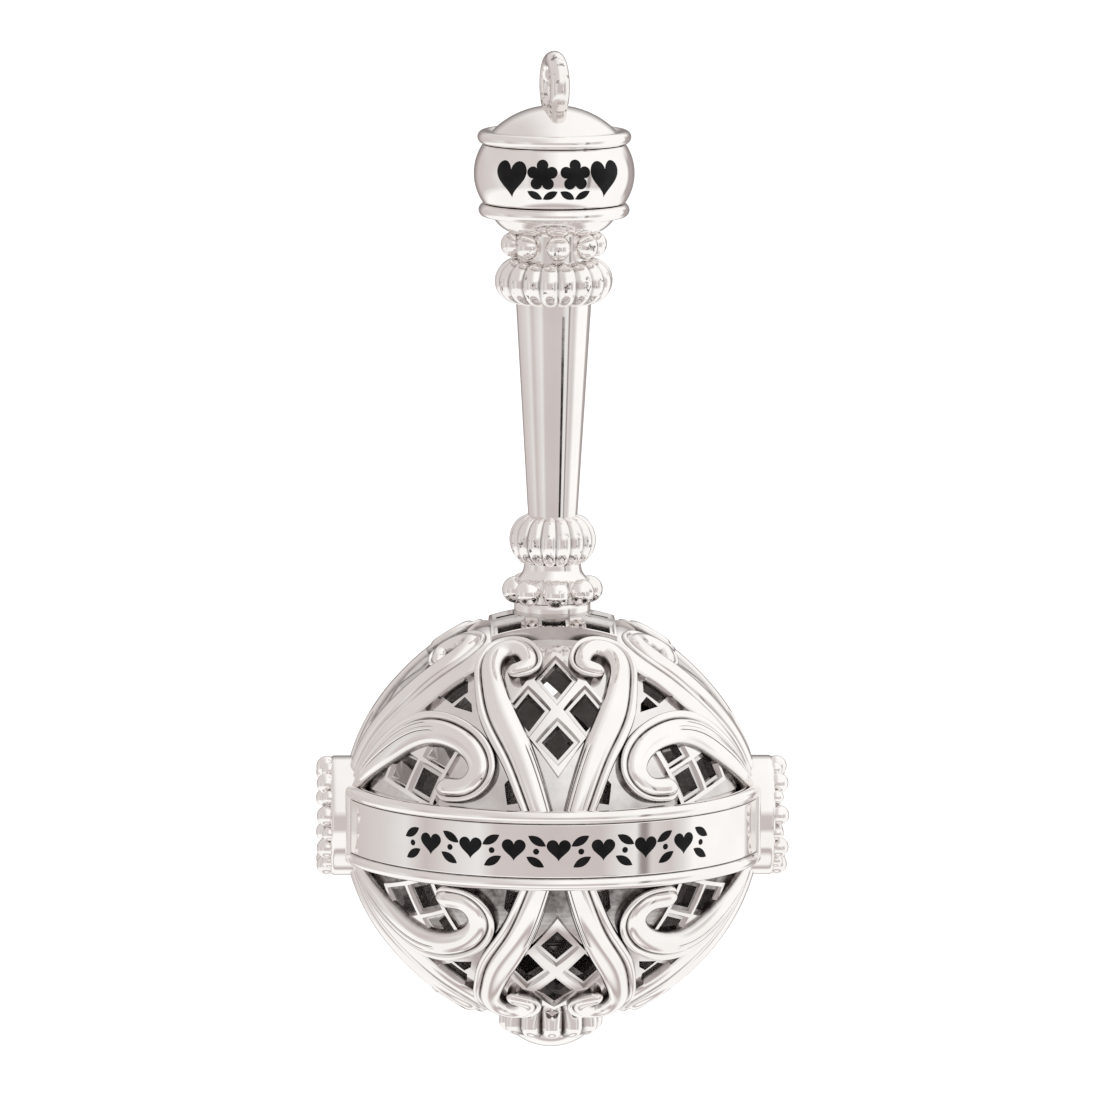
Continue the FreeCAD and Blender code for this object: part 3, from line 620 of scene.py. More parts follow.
# ---------------------------------------------------------------- scrolls
# centre line of the right strand of a heart: u, w, half width
HEART_STRAND = (
    (1.9, -12.0, 1.55), (2.7, -9.8, 1.72), (4.6, -4.6, 1.92), (6.45, 0.0, 2.0),
    (7.25, 4.5, 1.62), (7.1, 7.7, 1.5), (5.8, 9.5, 1.5), (4.0, 9.5, 1.45),
    (2.85, 8.0, 1.35), (2.9, 6.3, 1.3), (4.2, 5.7, 1.1),
)
# centre line of the curled scroll on the right of the front heart, drawn with its tail on the left
WAVE_STRAND = (
    (-12.2, -4.9, 0.7), (-8.4, -1.9, 1.5), (-4.7, 0.8, 2.15), (-1.5, 2.8, 2.2),
    (1.4, 3.6, 1.98), (4.6, 3.4, 1.78), (7.4, 2.2, 1.65), (8.75, 0.0, 1.55),
    (7.7, -2.1, 1.4), (5.5, -2.75, 1.4),
)
# section of a strand from its outer edge (0) to its inner edge (1): place, height, patina
STRAND_SECTION = (
    (0.000, 0.35, 1.0), (0.010, 0.62, 0.7), (0.035, 0.80, 0.1), (0.075, 0.91, 0.0),
    (0.120, 0.94, 0.0), (0.165, 0.90, 0.0), (0.205, 0.80, 0.0), (0.235, 0.64, 0.5),
    (0.250, 0.56, 1.0), (0.268, 0.64, 0.5), (0.300, 0.86, 0.0), (0.350, 1.02, 0.0),
    (0.420, 1.15, 0.0), (0.500, 1.23, 0.0), (0.580, 1.25, 0.0), (0.660, 1.23, 0.0),
    (0.740, 1.16, 0.0), (0.820, 1.04, 0.0), (0.890, 0.88, 0.0), (0.945, 0.68, 0.1),
    (0.980, 0.42, 0.6), (1.000, 0.05, 1.0),
)
# the smooth flank that fills the room outside a side heart
WEB_SECTION = (
    (0.00, 0.30, 0.3), (0.08, 0.55, 0.0), (0.20, 0.72, 0.0), (0.35, 0.80, 0.0),
    (0.50, 0.80, 0.0), (0.65, 0.74, 0.0), (0.80, 0.64, 0.0), (0.92, 0.52, 0.0),
    (1.00, 0.40, 0.0),
)
WEB_STRAND = (
    (2.3, 10.9, 1.3), (5.6, 10.2, 1.6), (8.4, 8.3, 1.9), (9.0, 5.6, 1.6),
    (9.0, 2.6, 1.7), (8.0, -0.8, 1.9), (6.4, -4.2, 1.8), (4.6, -8.0, 1.5),
    (3.4, -11.0, 1.2),
)
STRAND_FOOT = -0.55
# raised ribs on a strand: place across it, then where they start and end along it
HEART_RIBS = ((0.86, -0.1, 0.27),)
WAVE_RIBS = ((0.36, 0.05, 0.52), (0.60, 0.12, 0.57))
RIB_STEPS = (-1.4, -1.2, -1.02, -0.9, -0.6, 0, 0.6, 0.9, 1.02, 1.2, 1.4)
RIB_HALF = 0.045
RIB_HEIGHT = 0.17
RIB_TRENCH = 1.25           # the dark trench beside a rib reaches this many half widths from its middle
RIB_TRENCH_DEPTH = 0.05


def rib_shape(place, along, ribs):
    """Extra height and patina that the ribs give at one place."""
    lift = 0.0
    patina_shade_values = 0.0
    for middle, start, end in ribs:
        off = abs(place - middle) / RIB_HALF
        fade = min(max((along - start) / 0.12, 0.0), 1.0) * min(max((end - along) / 0.02, 0.0), 1.0)
        if off < 1.0:
            lift = max(lift, RIB_HEIGHT * fade * math.sqrt(1 - off ** 2))
        elif off < RIB_TRENCH:
            lift = min(lift, -RIB_TRENCH_DEPTH * fade)
            patina_shade_values = max(patina_shade_values, 0.9 * fade)
    return lift, patina_shade_values


def strand(chart, points, outer_left, count=116, tip=10, crest=None, section=STRAND_SECTION, ribs=()):
    """One raised scroll: its section is swept along the centre line and closed round at the tip."""
    line = spline(points, count)
    way = np.gradient(line[:, :2], axis=0)
    way /= np.linalg.norm(way, axis=1)[:, None]
    stations = [(line[i, 0], line[i, 1], way[i], line[i, 2], 1.0, i / (count - 1)) for i in range(count)]
    end = line[-1]
    for i in range(1, tip + 1):
        angle = math.pi / 2 * i / tip
        ahead = end[2] * math.sin(angle)
        narrow = max(math.cos(angle), 0.02)
        stations.append((end[0] + way[-1][0] * ahead, end[1] + way[-1][1] * ahead, way[-1],
                         end[2] * narrow, narrow, 1.0))
    places = [place for place, _, _ in section]
    heights = [height for _, height, _ in section]
    stains = [dirt for _, _, dirt in section]
    across = set(places)
    for middle, _, _ in ribs:
        across |= {middle + RIB_HALF * step for step in RIB_STEPS}
    across = sorted(place for place in across if 0 <= place <= 1)
    sections = []
    patina_shade_values = []
    side = 1.0 if outer_left else -1.0
    for u, w, t, half, shrink, along in stations:
        lift = crest(along) if crest else 1.0

        def corner(place, height):
            offset = side * (1 - 2 * place) * half
            return chart.wrap(u - t[1] * offset, w + t[0] * offset, GROUND_R + 0.2 + height)

        row = [corner(0.0, STRAND_FOOT)]
        patina_shade_values.append(0.8)
        for place in across:
            rise, dirt = rib_shape(place, along, ribs)
            height = (np.interp(place, places, heights) * lift + rise) * (0.45 + 0.55 * shrink)
            row.append(corner(place, height))
            patina_shade_values.append(max(np.interp(place, places, stains), dirt) * (1.0 if shrink == 1.0 else 0.3))
        row.append(corner(1.0, STRAND_FOOT))
        patina_shade_values.append(0.8)
        sections.append(row)
    verts, faces = sweep(sections)
    return verts, faces, patina_shade_values


def heart_crest(along):
    """The strand stands a little prouder over the shoulder and the curl."""
    return 0.98 + 0.22 * math.exp(-((along - 0.72) / 0.22) ** 2)


def wave_crest(along):
    return 0.8 + 0.3 * math.sin(math.pi * min(along * 1.1, 1.0)) + 0.12 * along


def build_scroll_casting(name, node, flip):
    heart = Build()
    heart.add(*strand(Chart(0, HEART_ELEVATION), HEART_STRAND, False, crest=heart_crest, ribs=HEART_RIBS))
    wave = Build()
    wave_chart = Chart(-WAVE_AZIMUTH, WAVE_ELEVATION)
    wave.add(*strand(wave_chart, WAVE_STRAND, True, crest=wave_crest, ribs=WAVE_RIBS))
    web = Build()
    web.add(*strand(Chart(0, HEART_ELEVATION), WEB_STRAND, True, count=60, tip=4, section=WEB_SECTION))
    build = Build()
    turned_copies(build, web, SIDES)
    turned_copies(build, heart, HEARTS)
    turned_copies(build, wave, FRONT_AND_BACK)
    flange_top = 4.2
    flange_r = 22.6
    flange = [(21.7, 0.02), (flange_r, 0.02)]
    flange += [(math.sqrt(flange_r ** 2 - z ** 2), z) for z in (flange_top * i / 8 for i in range(1, 9))]
    flange += [(21.6, flange_top)]
    build.add(*turned_ring(flange))
    if flip:
        lower = Build()
        lower.copy(build, lambda p: mirror(p, 2))
        build = lower
    build.put(name, [scroll_silver], "scroll_silver", [node], sharp_degrees=50.0)


# ---------------------------------------------------------------- pierced half shells
HEART_WINDOWS = (
    (0.0, 4.4, 1.75, 2.65), (-3.1, 0.3, 1.8, 2.45), (3.1, 0.3, 1.8, 2.45), (0.0, -3.5, 1.75, 2.0),
)
HEART_PANEL = ((0.0, -7.4), (5.7, 0.7), (0.0, 9.0), (-5.7, 0.7))
WAVE_CROSSING = (-0.6, 0.1)
WAVE_LATTICE_TURN = 15.0
WAVE_WINDOW = 2.5
WAVE_BAR = 1.5
GAP_OVER_WAVE = ((1.9, 8.4), (1.3, 9.3), (-1.4, 9.8), (-2.4, 8.5), (-1.3, 6.8), (0.9, 7.5))
GAP_UNDER_BAR = ((-2.4, 7.9), (-3.75, 7.25), (-4.45, 6.3), (-1.75, 6.5))
GAP_BESIDE_WAVE = ((-10.9, -0.6), (-11.9, 1.6), (-13.4, -1.8), (-11.6, -2.7))
PANEL_FOOT_R = 21.75
LEDGE_R = 21.93
LEDGE = 0.34
LEDGE_SLOPE = 0.2


def grown(polygon, distance):
    """A convex outline moved outwards by a distance."""
    area = sum(a[0] * b[1] - b[0] * a[1] for a, b in zip(polygon, polygon[1:] + polygon[:1]))
    corners = list(polygon) if area > 0 else list(reversed(polygon))
    out = []
    for i in range(len(corners)):
        before, here, after = (np.array(corners[j % len(corners)]) for j in (i - 1, i, i + 1))
        way_in = (here - before) / np.linalg.norm(here - before)
        way_out = (after - here) / np.linalg.norm(after - here)
        normal_in = np.array((way_in[1], -way_in[0]))
        normal_out = np.array((way_out[1], -way_out[0]))
        bisector = normal_in + normal_out
        out.append(tuple(here + bisector * distance / (1 + normal_in @ normal_out)))
    return out


def prism(chart, foot, top, foot_height, top_height):
    """Joins two outlines of a chart; a height is a number, or a function of the place."""
    count = len(foot)
    verts = []
    for outline, height in ((foot, foot_height), (top, top_height)):
        for u, w in outline:
            verts.append(chart.at(u, w, height(u, w) if callable(height) else height))
    faces = [tuple(reversed(range(count))), tuple(range(count, 2 * count))]
    for k in range(count):
        n = (k + 1) % count
        faces.append((k, n, n + count, k + count))
    return verts, faces


def wave_squares(half):
    """The square windows inside a curled scroll's lattice, or their panel when half is given."""
    turn = math.radians(WAVE_LATTICE_TURN)
    along = np.array((math.cos(turn), math.sin(turn)))
    across = np.array((-math.sin(turn), math.cos(turn)))
    reach = (WAVE_WINDOW + WAVE_BAR) / 2
    places = ((0, 0),) if half else ((-1, 1), (-1, -1), (1, -1))
    size = half or WAVE_WINDOW / 2
    squares = []
    for i, j in places:
        middle = np.array(WAVE_CROSSING) + along * i * reach + across * j * reach
        squares.append(tuple(tuple(middle + along * k * size + across * m * size)
                             for k, m in ((-1, -1), (1, -1), (1, 1), (-1, 1))))
    return squares


def heart_diamonds():
    return [((u, w - tall), (u + wide, w), (u, w + tall), (u - wide, w))
            for u, w, wide, tall in HEART_WINDOWS]


def on_ball(radius):
    return lambda u, w: math.sqrt(radius ** 2 - u * u - w * w)


def all_round(heart_prisms, wave_prisms):
    """Copies a heart's and a curled scroll's prisms to every place of the upper half."""
    build = Build()
    turned_copies(build, heart_prisms, HEARTS, pairs=False)
    turned_copies(build, wave_prisms, FRONT_AND_BACK)
    return build


def lattice_cutters():
    """Windows that go right through, the sloped ledges round them, and the panels they stand in."""
    heart_chart = Chart(0, HEART_ELEVATION)
    wave_chart = Chart(WAVE_AZIMUTH, WAVE_ELEVATION)
    results = []
    for kind in ("window", "ledge", "panel"):
        heart = Build()
        wave = Build()
        kinds = ((heart_chart, heart, heart_diamonds()), (wave_chart, wave, wave_squares(0)))
        for chart, build, outlines in kinds:
            if kind == "panel":
                outlines = [HEART_PANEL] if build is heart else wave_squares(4.25)
            for outline in outlines:
                if kind == "ledge":
                    foot = grown(outline, LEDGE)
                    top = grown(outline, LEDGE + LEDGE_SLOPE * 3)
                    build.add(*prism(chart, foot, top, on_ball(LEDGE_R), on_ball(LEDGE_R + 1.0)))
                else:
                    build.add(*prism(chart, grown(outline, 0), grown(outline, 0), 12.0, 26.0))
        if kind == "window":
            for gap in (GAP_OVER_WAVE, GAP_UNDER_BAR, GAP_BESIDE_WAVE):
                wave.add(*prism(wave_chart, grown(gap, 0), grown(gap, 0), 12.0, 26.0))
        results.append(all_round(heart, wave))
    return results


def block(half, low, high):
    build = Build()
    corners = ((-half, -half), (half, -half), (half, half), (-half, half))
    build.add(*prism(Chart(0, 90), corners, corners, low, high))
    return build


def half_shell(inner, outer, inner_steps, outer_steps):
    """Closed hollow half ball, standing just above the middle plane."""
    gap = 0.01
    profile = [(0, inner)] + arc((0, 0), inner, 90, 0, inner_steps)[1:-1] + [(inner, gap), (outer, gap)]
    profile += arc((0, 0), outer, 0, 90, outer_steps)[1:-1] + [(0, outer)]
    verts, faces, _ = lathe(profile, 240)
    build = Build()
    build.add(verts, faces)
    return build


def solid_object(build):
    mesh = bpy.data.meshes.new("working_solid")
    mesh.from_pydata([tuple(v) for v in build.verts], [], build.faces)
    return new_object("working_solid", mesh)


def combined(build, *steps):
    """Runs exact booleans on a closed mesh: each step is an operation and the other closed mesh."""
    solid = solid_object(build)
    for operation, other in steps:
        tool = solid_object(other)
        modifier = solid.modifiers.new("boolean", "BOOLEAN")
        modifier.solver = "EXACT"
        modifier.use_self = True
        modifier.operation = operation
        modifier.object = tool
        depsgraph = bpy.context.evaluated_depsgraph_get()
        result = bpy.data.meshes.new_from_object(solid.evaluated_get(depsgraph))
        solid.modifiers.clear()
        solid.data = result
        bpy.data.objects.remove(tool)
    points = np.zeros(len(solid.data.vertices) * 3)
    solid.data.vertices.foreach_get("co", points)
    faces = [tuple(polygon.vertices) for polygon in solid.data.polygons]
    bpy.data.objects.remove(solid)
    out = Build()
    out.add(points.reshape(-1, 3), faces)
    return out


def ground_patina_and_banner_shade(z):
    """The plain ground is a little darker everywhere, and carries painted shade close to the banners, most of
    all under them.
    """
    # painted shade: the ground darkens towards the banners, most of all below them
    near = min(max((10.5 - abs(z)) / 4.0, 0.0), 1.0)
    return 0.1 + near * (0.15 if z > 0 else 0.72)


def put_round(name, build, materials, slot, nodes, inside_r):
    """Puts a piece cut from spherical layers: its round faces shade as true spheres."""
    points = np.asarray(build.verts, float)
    patina_shade_values = []
    slots = []
    normals = []
    for face in build.faces:
        corners = points[list(face)]
        middle = corners.mean(axis=0)
        normal = np.zeros(3)
        for i in range(len(face)):
            normal += np.cross(corners[i - 1] - middle, corners[i] - middle)
        normal /= max(np.linalg.norm(normal), 1e-12)
        radius = np.linalg.norm(middle)
        facing = float(normal @ middle) / radius
        inner = facing < -0.9
        slots.append(1 if inner else 0)
        if abs(facing) > 0.985:
            normals += [tuple(math.copysign(1, facing) * c / np.linalg.norm(c)) for c in corners]
            on_ground = GROUND_R - 0.1 < radius < GROUND_R + 0.05
            # ground faces get painted shade near the banners; ledges and window walls get patina
            patina_shade_values.append(ground_patina_and_banner_shade(middle[2]) if on_ground else 0.35 if radius < LEDGE_R + 0.03 else 0.0)
        else:
            normals += [tuple(normal)] * len(face)
            patina_shade_values.append(0.3 if radius > inside_r else 0.5)
    piece = put(name, build.verts, build.faces, materials, slot, nodes, face_patina_and_shade=patina_shade_values, face_slots=slots)
    piece.data.normals_split_custom_set(normals)
    return piece


def build_lattices():
    window, ledge, panel = lattice_cutters()
    crown_hole = block(CROWN_HALF - 0.55, 10.0, 30.0)
    crown_seat = block(CROWN_HALF + 0.05, CROWN_IN_R - 1.9, 30.0)
    ground = combined(half_shell(SHELL_IN_R, GROUND_R, 32, 56), ("DIFFERENCE", window))
    panels = combined(half_shell(PANEL_FOOT_R, PANEL_R, 56, 56), ("INTERSECT", panel), ("DIFFERENCE", ledge),
                      ("DIFFERENCE", window))
    half = Build()
    half.copy(ground, lambda p: p)
    half.copy(panels, lambda p: p)
    lower = Build()
    lower.copy(half, lambda p: mirror(p, 2))
    upper = Build()
    upper.copy(combined(ground, ("DIFFERENCE", crown_hole), ("DIFFERENCE", crown_seat)), lambda p: p)
    upper.copy(panels, lambda p: p)
    materials = [lattice_silver, inside_dark]
    put_round("upper_pierced_shell", upper, materials, "lattice_silver", ["upper_lattice"], 21.5)
    put_round("lower_pierced_shell", lower, materials, "lattice_silver", ["lower_lattice"], 21.5)


def build_crown():
    """Square pierced plate: a grid of windows in a piece of a spherical layer."""
    count = 56
    verts = []
    for radius in (CROWN_IN_R, CROWN_R):
        for i in range(count + 1):
            for j in range(count + 1):
                x = CROWN_HALF * (2 * i / count - 1)
                y = CROWN_HALF * (2 * j / count - 1)
                verts.append((x, y, math.sqrt(radius ** 2 - x * x - y * y)))
    row = count + 1
    layer = row * row
    faces = []
    for i in range(count):
        for j in range(count):
            a = i * row + j
            faces.append((a, a + 1, a + row + 1, a + row))
            faces.append((layer + a, layer + a + row, layer + a + row + 1, layer + a + 1))
        left = i * row
        right = i * row + count
        faces.append((left, left + row, layer + left + row, layer + left))
        faces.append((right, layer + right, layer + right + row, right + row))
        near = i
        far = count * row + i
        faces.append((near, layer + near, layer + near + 1, near + 1))
        faces.append((far, far + 1, layer + far + 1, layer + far))
    plate = Build()
    plate.add(verts, faces)
    window = 2.6
    pitch = 4.85
    straight = Chart(0, 90)
    windows = Build()
    ledges = Build()
    for i in (-1, 0, 1):
        for j in (-1, 0, 1):
            if i or j:
                corners = [(i * pitch + k * window / 2, j * pitch + m * window / 2)
                           for k, m in ((-1, -1), (1, -1), (1, 1), (-1, 1))]
                windows.add(*prism(straight, corners, corners, 10.0, 30.0))
                ledges.add(*prism(straight, grown(corners, 0.3), grown(corners, 0.6), on_ball(CROWN_R - 0.3),
                                  on_ball(CROWN_R + 0.3)))
    grille = combined(plate, ("DIFFERENCE", ledges), ("DIFFERENCE", windows))
    pad, pad_faces, _ = lathe([(0, 21.3), (4.2, 21.3), (4.2, 22.9), (0, 22.9)], 96)
    grille.add(pad, pad_faces)
    put_round("square_crown", grille, [scroll_silver, inside_dark], "scroll_silver", ["crown_grille"], 21.0)


# ---------------------------------------------------------------- banners, medallions and finial
def turned_ring(profile, segments=240):
    """A closed (r, z) outline turned round Z without reaching the axis."""
    sections = []
    for i in range(segments):
        a = 2 * math.pi * i / segments
        sections.append([(r * math.cos(a), r * math.sin(a), z) for r, z in profile])
    return sweep(sections, closed=True)


def build_banner(name, node, turn):
    rim_r = BANNER_RIM_R - BANNER_RIM
    rim_z = BANNER_HALF - BANNER_RIM
    groove_z = BANNER_HALF - 2 * BANNER_RIM
    upper = arc((rim_r, rim_z), BANNER_RIM, 150, -56, 30)
    upper += [(BANNER_FACE_R - 0.03, groove_z + 0.06), (BANNER_FACE_R - 0.12, groove_z),
              (BANNER_FACE_R - 0.02, groove_z - 0.07), (BANNER_FACE_R, groove_z - 0.12),
              (BANNER_FACE_R, groove_z - 0.24)]
    outline = upper + [(BANNER_FACE_R, 0.0)] + [(r, -z) for r, z in reversed(upper)]
    groove = [0.0] * len(outline)
    for i, (r, z) in enumerate(outline):
        if abs(abs(z) - groove_z) < 0.065:
            groove[i] = 1.0
    end = BANNER_REACH - 1.7
    steps = 150
    sections = []
    patina_shade_values = []
    for i in range(steps + 1):
        a = math.radians(-90 - end + 2 * end * i / steps + turn)
        sections.append([(r * math.cos(a), r * math.sin(a), z) for r, z in outline])
        patina_shade_values += groove
    build = Build()
    verts, faces = sweep(sections)
    build.add(verts, faces, patina_shade_values)
    capsule = [(0, -BANNER_HALF)] + arc((0, -rim_z), BANNER_RIM, -80, 0, 8)
    capsule += arc((0, rim_z), BANNER_RIM, 0, 80, 8) + [(0, BANNER_HALF)]
    post, post_faces, _ = lathe(capsule, 48)
    for side in (-1, 1):
        a = math.radians(-90 + side * end + turn)
        build.add([(x + rim_r * math.cos(a), y + rim_r * math.sin(a), z) for x, y, z in post], post_faces)
    build.put(name, [silver], "silver", [node], sharp_degrees=50.0)


def build_medallion(name, node, side):
    profile = [(0, 20.9), (6.3, 20.9), (6.6, 21.2), (6.6, 23.75)]
    profile += arc((6.1, 23.95), 0.5, 10, 90, 10)
    profile += [(4.85, 24.5), (4.7, 24.42), (4.55, 24.3), (4.35, 24.36), (4.2, 24.5)]
    dome_r = 12.0
    dome_rise = dome_r - math.sqrt(dome_r ** 2 - 4.2 ** 2)
    profile += arc((0, 24.5 + dome_rise - dome_r), dome_r, 90 - math.degrees(math.asin(4.1 / dome_r)), 90, 12)
    verts, faces, patina_shade_values = lathe(profile, 120,
                                patina_and_shade=lambda r, z: 0.9 if 4.3 < r < 4.75 and z < 24.45 else 0.0)
    build = Build()
    build.add(verts, faces, patina_shade_values)
    pairs = 9
    first = 9.0
    for step in range(2 * pairs):
        angle = math.radians(first) + math.pi * step / pairs
        ring, reach, bead = (5.5, 24.85, 1.12) if step % 2 == 0 else (5.8, 24.6, 0.78)
        build.add(*ball_mesh(bead, (-ring * math.cos(angle), ring * math.sin(angle), reach), 18, 36))
    turned = Build()
    turned.copy(build, lambda p: np.stack([side * p[:, 2], p[:, 0], p[:, 1]], axis=1))
    turned.put(name, [silver], "silver", [node])


def build_finial():
    """Twelve round lobes like a beaded cup, and a smooth button below."""
    lobes = 12
    cup_r = 5.75

    def shape(r, z, angle):
        lobe = abs(math.cos(lobes * angle / 2)) ** 0.7
        if r < 4.0 or z > -21.0:
            return r, z
        return 4.0 + (r - 4.0) * (0.25 + 0.75 * lobe), z + 0.25 * (1 - lobe) * (z < -23.3)

    profile = [(0, -24.2), (3.9, -24.2), (4.3, -24.25)]
    profile += arc((4.55, -23.05), 1.2, -80, 10, 14)
    profile += [(cup_r, -22.6), (5.6, -21.4), (5.0, -20.6), (0, -20.6)]
    patina_shade_values = lambda r, z: 0.8 * max(0.0, min(1.0, (5.15 - r) / 0.5)) if r > 3.95 and z < -21.2 else 0.0
    verts, faces, patina_and_shade = lathe(profile, lobes * 24, shape, patina_shade_values)
    build = Build()
    build.add(verts, faces, patina_and_shade)
    foot_r = 4.3
    height = 1.7
    button_r = (foot_r ** 2 + height ** 2) / (2 * height)
    edge = math.degrees(math.asin(foot_r / button_r))
    lowest = -25.9
    button = [(0, lowest)] + arc((0, lowest + button_r), button_r, -89, -90 + edge, 24)
    button += [(4.2, -23.9), (0, -23.9)]
    button_verts, button_faces, _ = lathe(button, 120)
    build.add(button_verts, button_faces)
    build.put("lobed_finial", [silver], "silver", ["bottom_finial"])


# ---------------------------------------------------------------- enamel motifs
def heart_outline(width, tall=1.0):
    """The well-known heart curve, 32 units wide, scaled to a width and stretched upwards."""
    points = []
    count = 64
    for i in range(count):
        t = 2 * math.pi * i / count
        x = 16 * math.sin(t) ** 3
        y = 13 * math.cos(t) - 5 * math.cos(2 * t) - 2 * math.cos(3 * t) - math.cos(4 * t)
        points.append((width * x / 32, width * tall * (y + 2.5) / 32))
    return points


def flower_outline(petal, reach):
    """Five round petals about a middle disc."""
    points = []
    for i in range(120):
        a = 2 * math.pi * i / 120
        best = petal
        for step in range(5):
            away = a - math.radians(90 + 72 * step)
            side = reach * math.sin(away)
            if abs(side) < petal and math.cos(away) > 0:
                best = max(best, reach * math.cos(away) + math.sqrt(petal ** 2 - side ** 2))
        points.append((best * math.cos(a), best * math.sin(a)))
    return points


def leaf_outline(length, width, turn_degrees):
    """A pointed leaf between two shallow curves."""
    t = math.radians(turn_degrees)
    half = length / 2
    side = width / 2
    steps = 24
    points = []
    for way in (-1, 1):
        for i in range(steps):
            x = way * (half - length * i / steps)
            points.append((x, way * side * (1 - (x / half) ** 2)))
    return [(x * math.cos(t) - y * math.sin(t), x * math.sin(t) + y * math.cos(t)) for x, y in points]


def dot_outline(radius):
    return arc((0.0, 0.0), radius, 0, 360, 32)[:-1]


def motif(build, outline, azimuth, middle, surface):
    """A thin crowned tile of enamel let into a turned face; surface(z) is that face's radius."""
    proud = 0.02
    depth = 0.25
    rings = ((0.25, proud), (0.5, proud), (0.75, proud), (0.93, proud), (1.0, -0.01), (1.0, -depth))
    chart = Chart(azimuth, 0)

    def place(u, w, rise):
        radius = surface(w) + rise
        height = math.sqrt(radius ** 2 - u * u)
        return tuple(chart.at(u, w, height))

    cu, cw = middle
    verts = [place(cu, cw, proud)]
    for scale, rise in rings:
        verts += [place(cu + u * scale, cw + w * scale, rise) for u, w in outline]
    verts.append(place(cu, cw, -depth))
    build.add(verts, capped_rings(len(rings), len(outline)))


def build_drum_inlays():
    """Two hearts and, between them, two flowers over pairs of leaves."""
    motif_step = 24.0
    row_turn = 1.5
    middle = (BASE_Z + DRUM_TOP_Z) / 2
    build = Build()
    for step in range(4):
        azimuth = (step - 1.5) * motif_step + row_turn
        if step in (0, 3):
            motif(build, heart_outline(3.9, 1.18), azimuth, (0.0, middle), drum_radius)
        else:
            motif(build, flower_outline(0.66, 1.1), azimuth, (0.0, middle + 0.55), drum_radius)
            for side in (-1, 1):
                leaf = leaf_outline(1.9, 0.85, 28.0 * side)
                motif(build, leaf, azimuth, (0.85 * side, middle - 1.62), drum_radius)
    build.put("drum_enamel", [enamel], "enamel", ["drum_inlays"])


def build_banner_inlays():
    """A running row of hearts with a pair of leaves and a dot between neighbours."""
    hearts = 7
    motif_step = 6.0
    build = Build()

    def tile(outline, u, w):
        motif(build, outline, azimuth, (u, w), lambda z: BANNER_FACE_R)

    for step in range(2 * hearts + 1):
        azimuth = (step - hearts) * motif_step
        if step % 2 == 1:
            tile(heart_outline(2.7), 0.0, 0.1)
        else:
            side = 1 if step % 4 == 0 else -1
            leaf = leaf_outline(2.3, 0.95, 30 * side)
            tile(leaf, -0.1, 1.15 * side)
            tile(leaf, 0.1, -1.15 * side)
            tile(dot_outline(0.34), 0.0, 0.0)
    build.put("banner_enamel", [enamel], "enamel", ["banner_inlays"])


build_hanging_loop()
build_end_cap()
build_drum()
build_drum_base()
build_bead_ring("upper_beads", "upper_bead_ring", [(0, 61.66), (4.1, 61.66), (4.1, 64.6), (0, 64.6)],
                63.4, 4.45, 1.4, 4.0)
build_knop("upper_gadroon", "upper_knop", 56.82, 61.88, 3.75, 2.73, 59.4, 2.55, 18, 3.4, 3.4)
build_shaft()
build_knop("lower_gadroon", "lower_knop", 28.02, 33.58, 2.35, 2.42, 30.75, 2.8, 16, 3.8, 2.3)
build_neck()
build_bead_ring("lower_beads", "lower_bead_ring", [(0, 24.0), (3.9, 24.0), (3.9, 26.4), (0, 26.4)],
                25.2, 4.07, 1.49, 3.5)
build_scroll_casting("upper_scrolls", "upper_scroll_casting", False)
build_scroll_casting("lower_scrolls", "lower_scroll_casting", True)
build_lattices()
build_crown()
build_banner("front_band", "front_banner", 0)
build_banner("rear_band", "rear_banner", 180)
build_medallion("right_boss", "right_medallion", 1)
build_medallion("left_boss", "left_medallion", -1)
build_finial()
build_drum_inlays()
build_banner_inlays()

# ---------------------------------------------------------------- carried-over CAD pieces
for node_name, node_material in (
        ("tie_rod", steel), ("tie_rod_nuts", steel), ("loop_nut", steel), ("finial_screw", steel),
        ("bell_pellet", steel), ("bell_upper_shell", bell_metal), ("bell_lower_shell", bell_metal)):
    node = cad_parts[node_name]
    for material_slot in node.material_slots:
        material_slot.material = node_material


# ---------------------------------------------------------------- floor, light and camera
def build_floor():
    size = 12.0
    drop = 0.03
    z = cad_low.z - drop
    mesh = bpy.data.meshes.new("floor")
    corners = [(-size, -size, z), (size, -size, z), (size, size, z), (-size, size, z)]
    mesh.from_pydata(corners, [], [(0, 1, 2, 3)])
    floor = new_object("floor", mesh)
    material, _, shader = new_material("pale_floor", 0.0, 0.8)
    shader.inputs["Base Color"].default_value = (0.9, 0.9, 0.9, 1.0)
    shader.inputs["Emission Color"].default_value = (1.0, 1.0, 1.0, 1.0)
    shader.inputs["Emission Strength"].default_value = 0.35
    mesh.materials.append(material)
    floor.visible_glossy = False


def tone(grey):
    """Light that polished silver shows as a given grey level; the duller it is, the pinker."""
    value = (grey / 255.0) ** 2.2 / 0.89
    pink = min(max((225.0 - grey) / 30.0, 0.0), 1.0)
    return (value, value * (1.0 - 0.10 * pink), value * (0.985 - 0.105 * pink), 1.0)


# light tent round the rattle at eye height: azimuth from the front, grey level seen in the silver
TENT = (
    (-180, 160), (-150, 198), (-105, 212), (-88, 224), (-74, 198), (-60, 214), (-42, 228), (-32, 202),
    (0, 200), (25, 202), (36, 224), (45, 232), (48, 150), (51, 150), (54, 214), (66, 205), (74, 222),
    (82, 252), (128, 252), (134, 172), (150, 172), (165, 180), (180, 160),
)


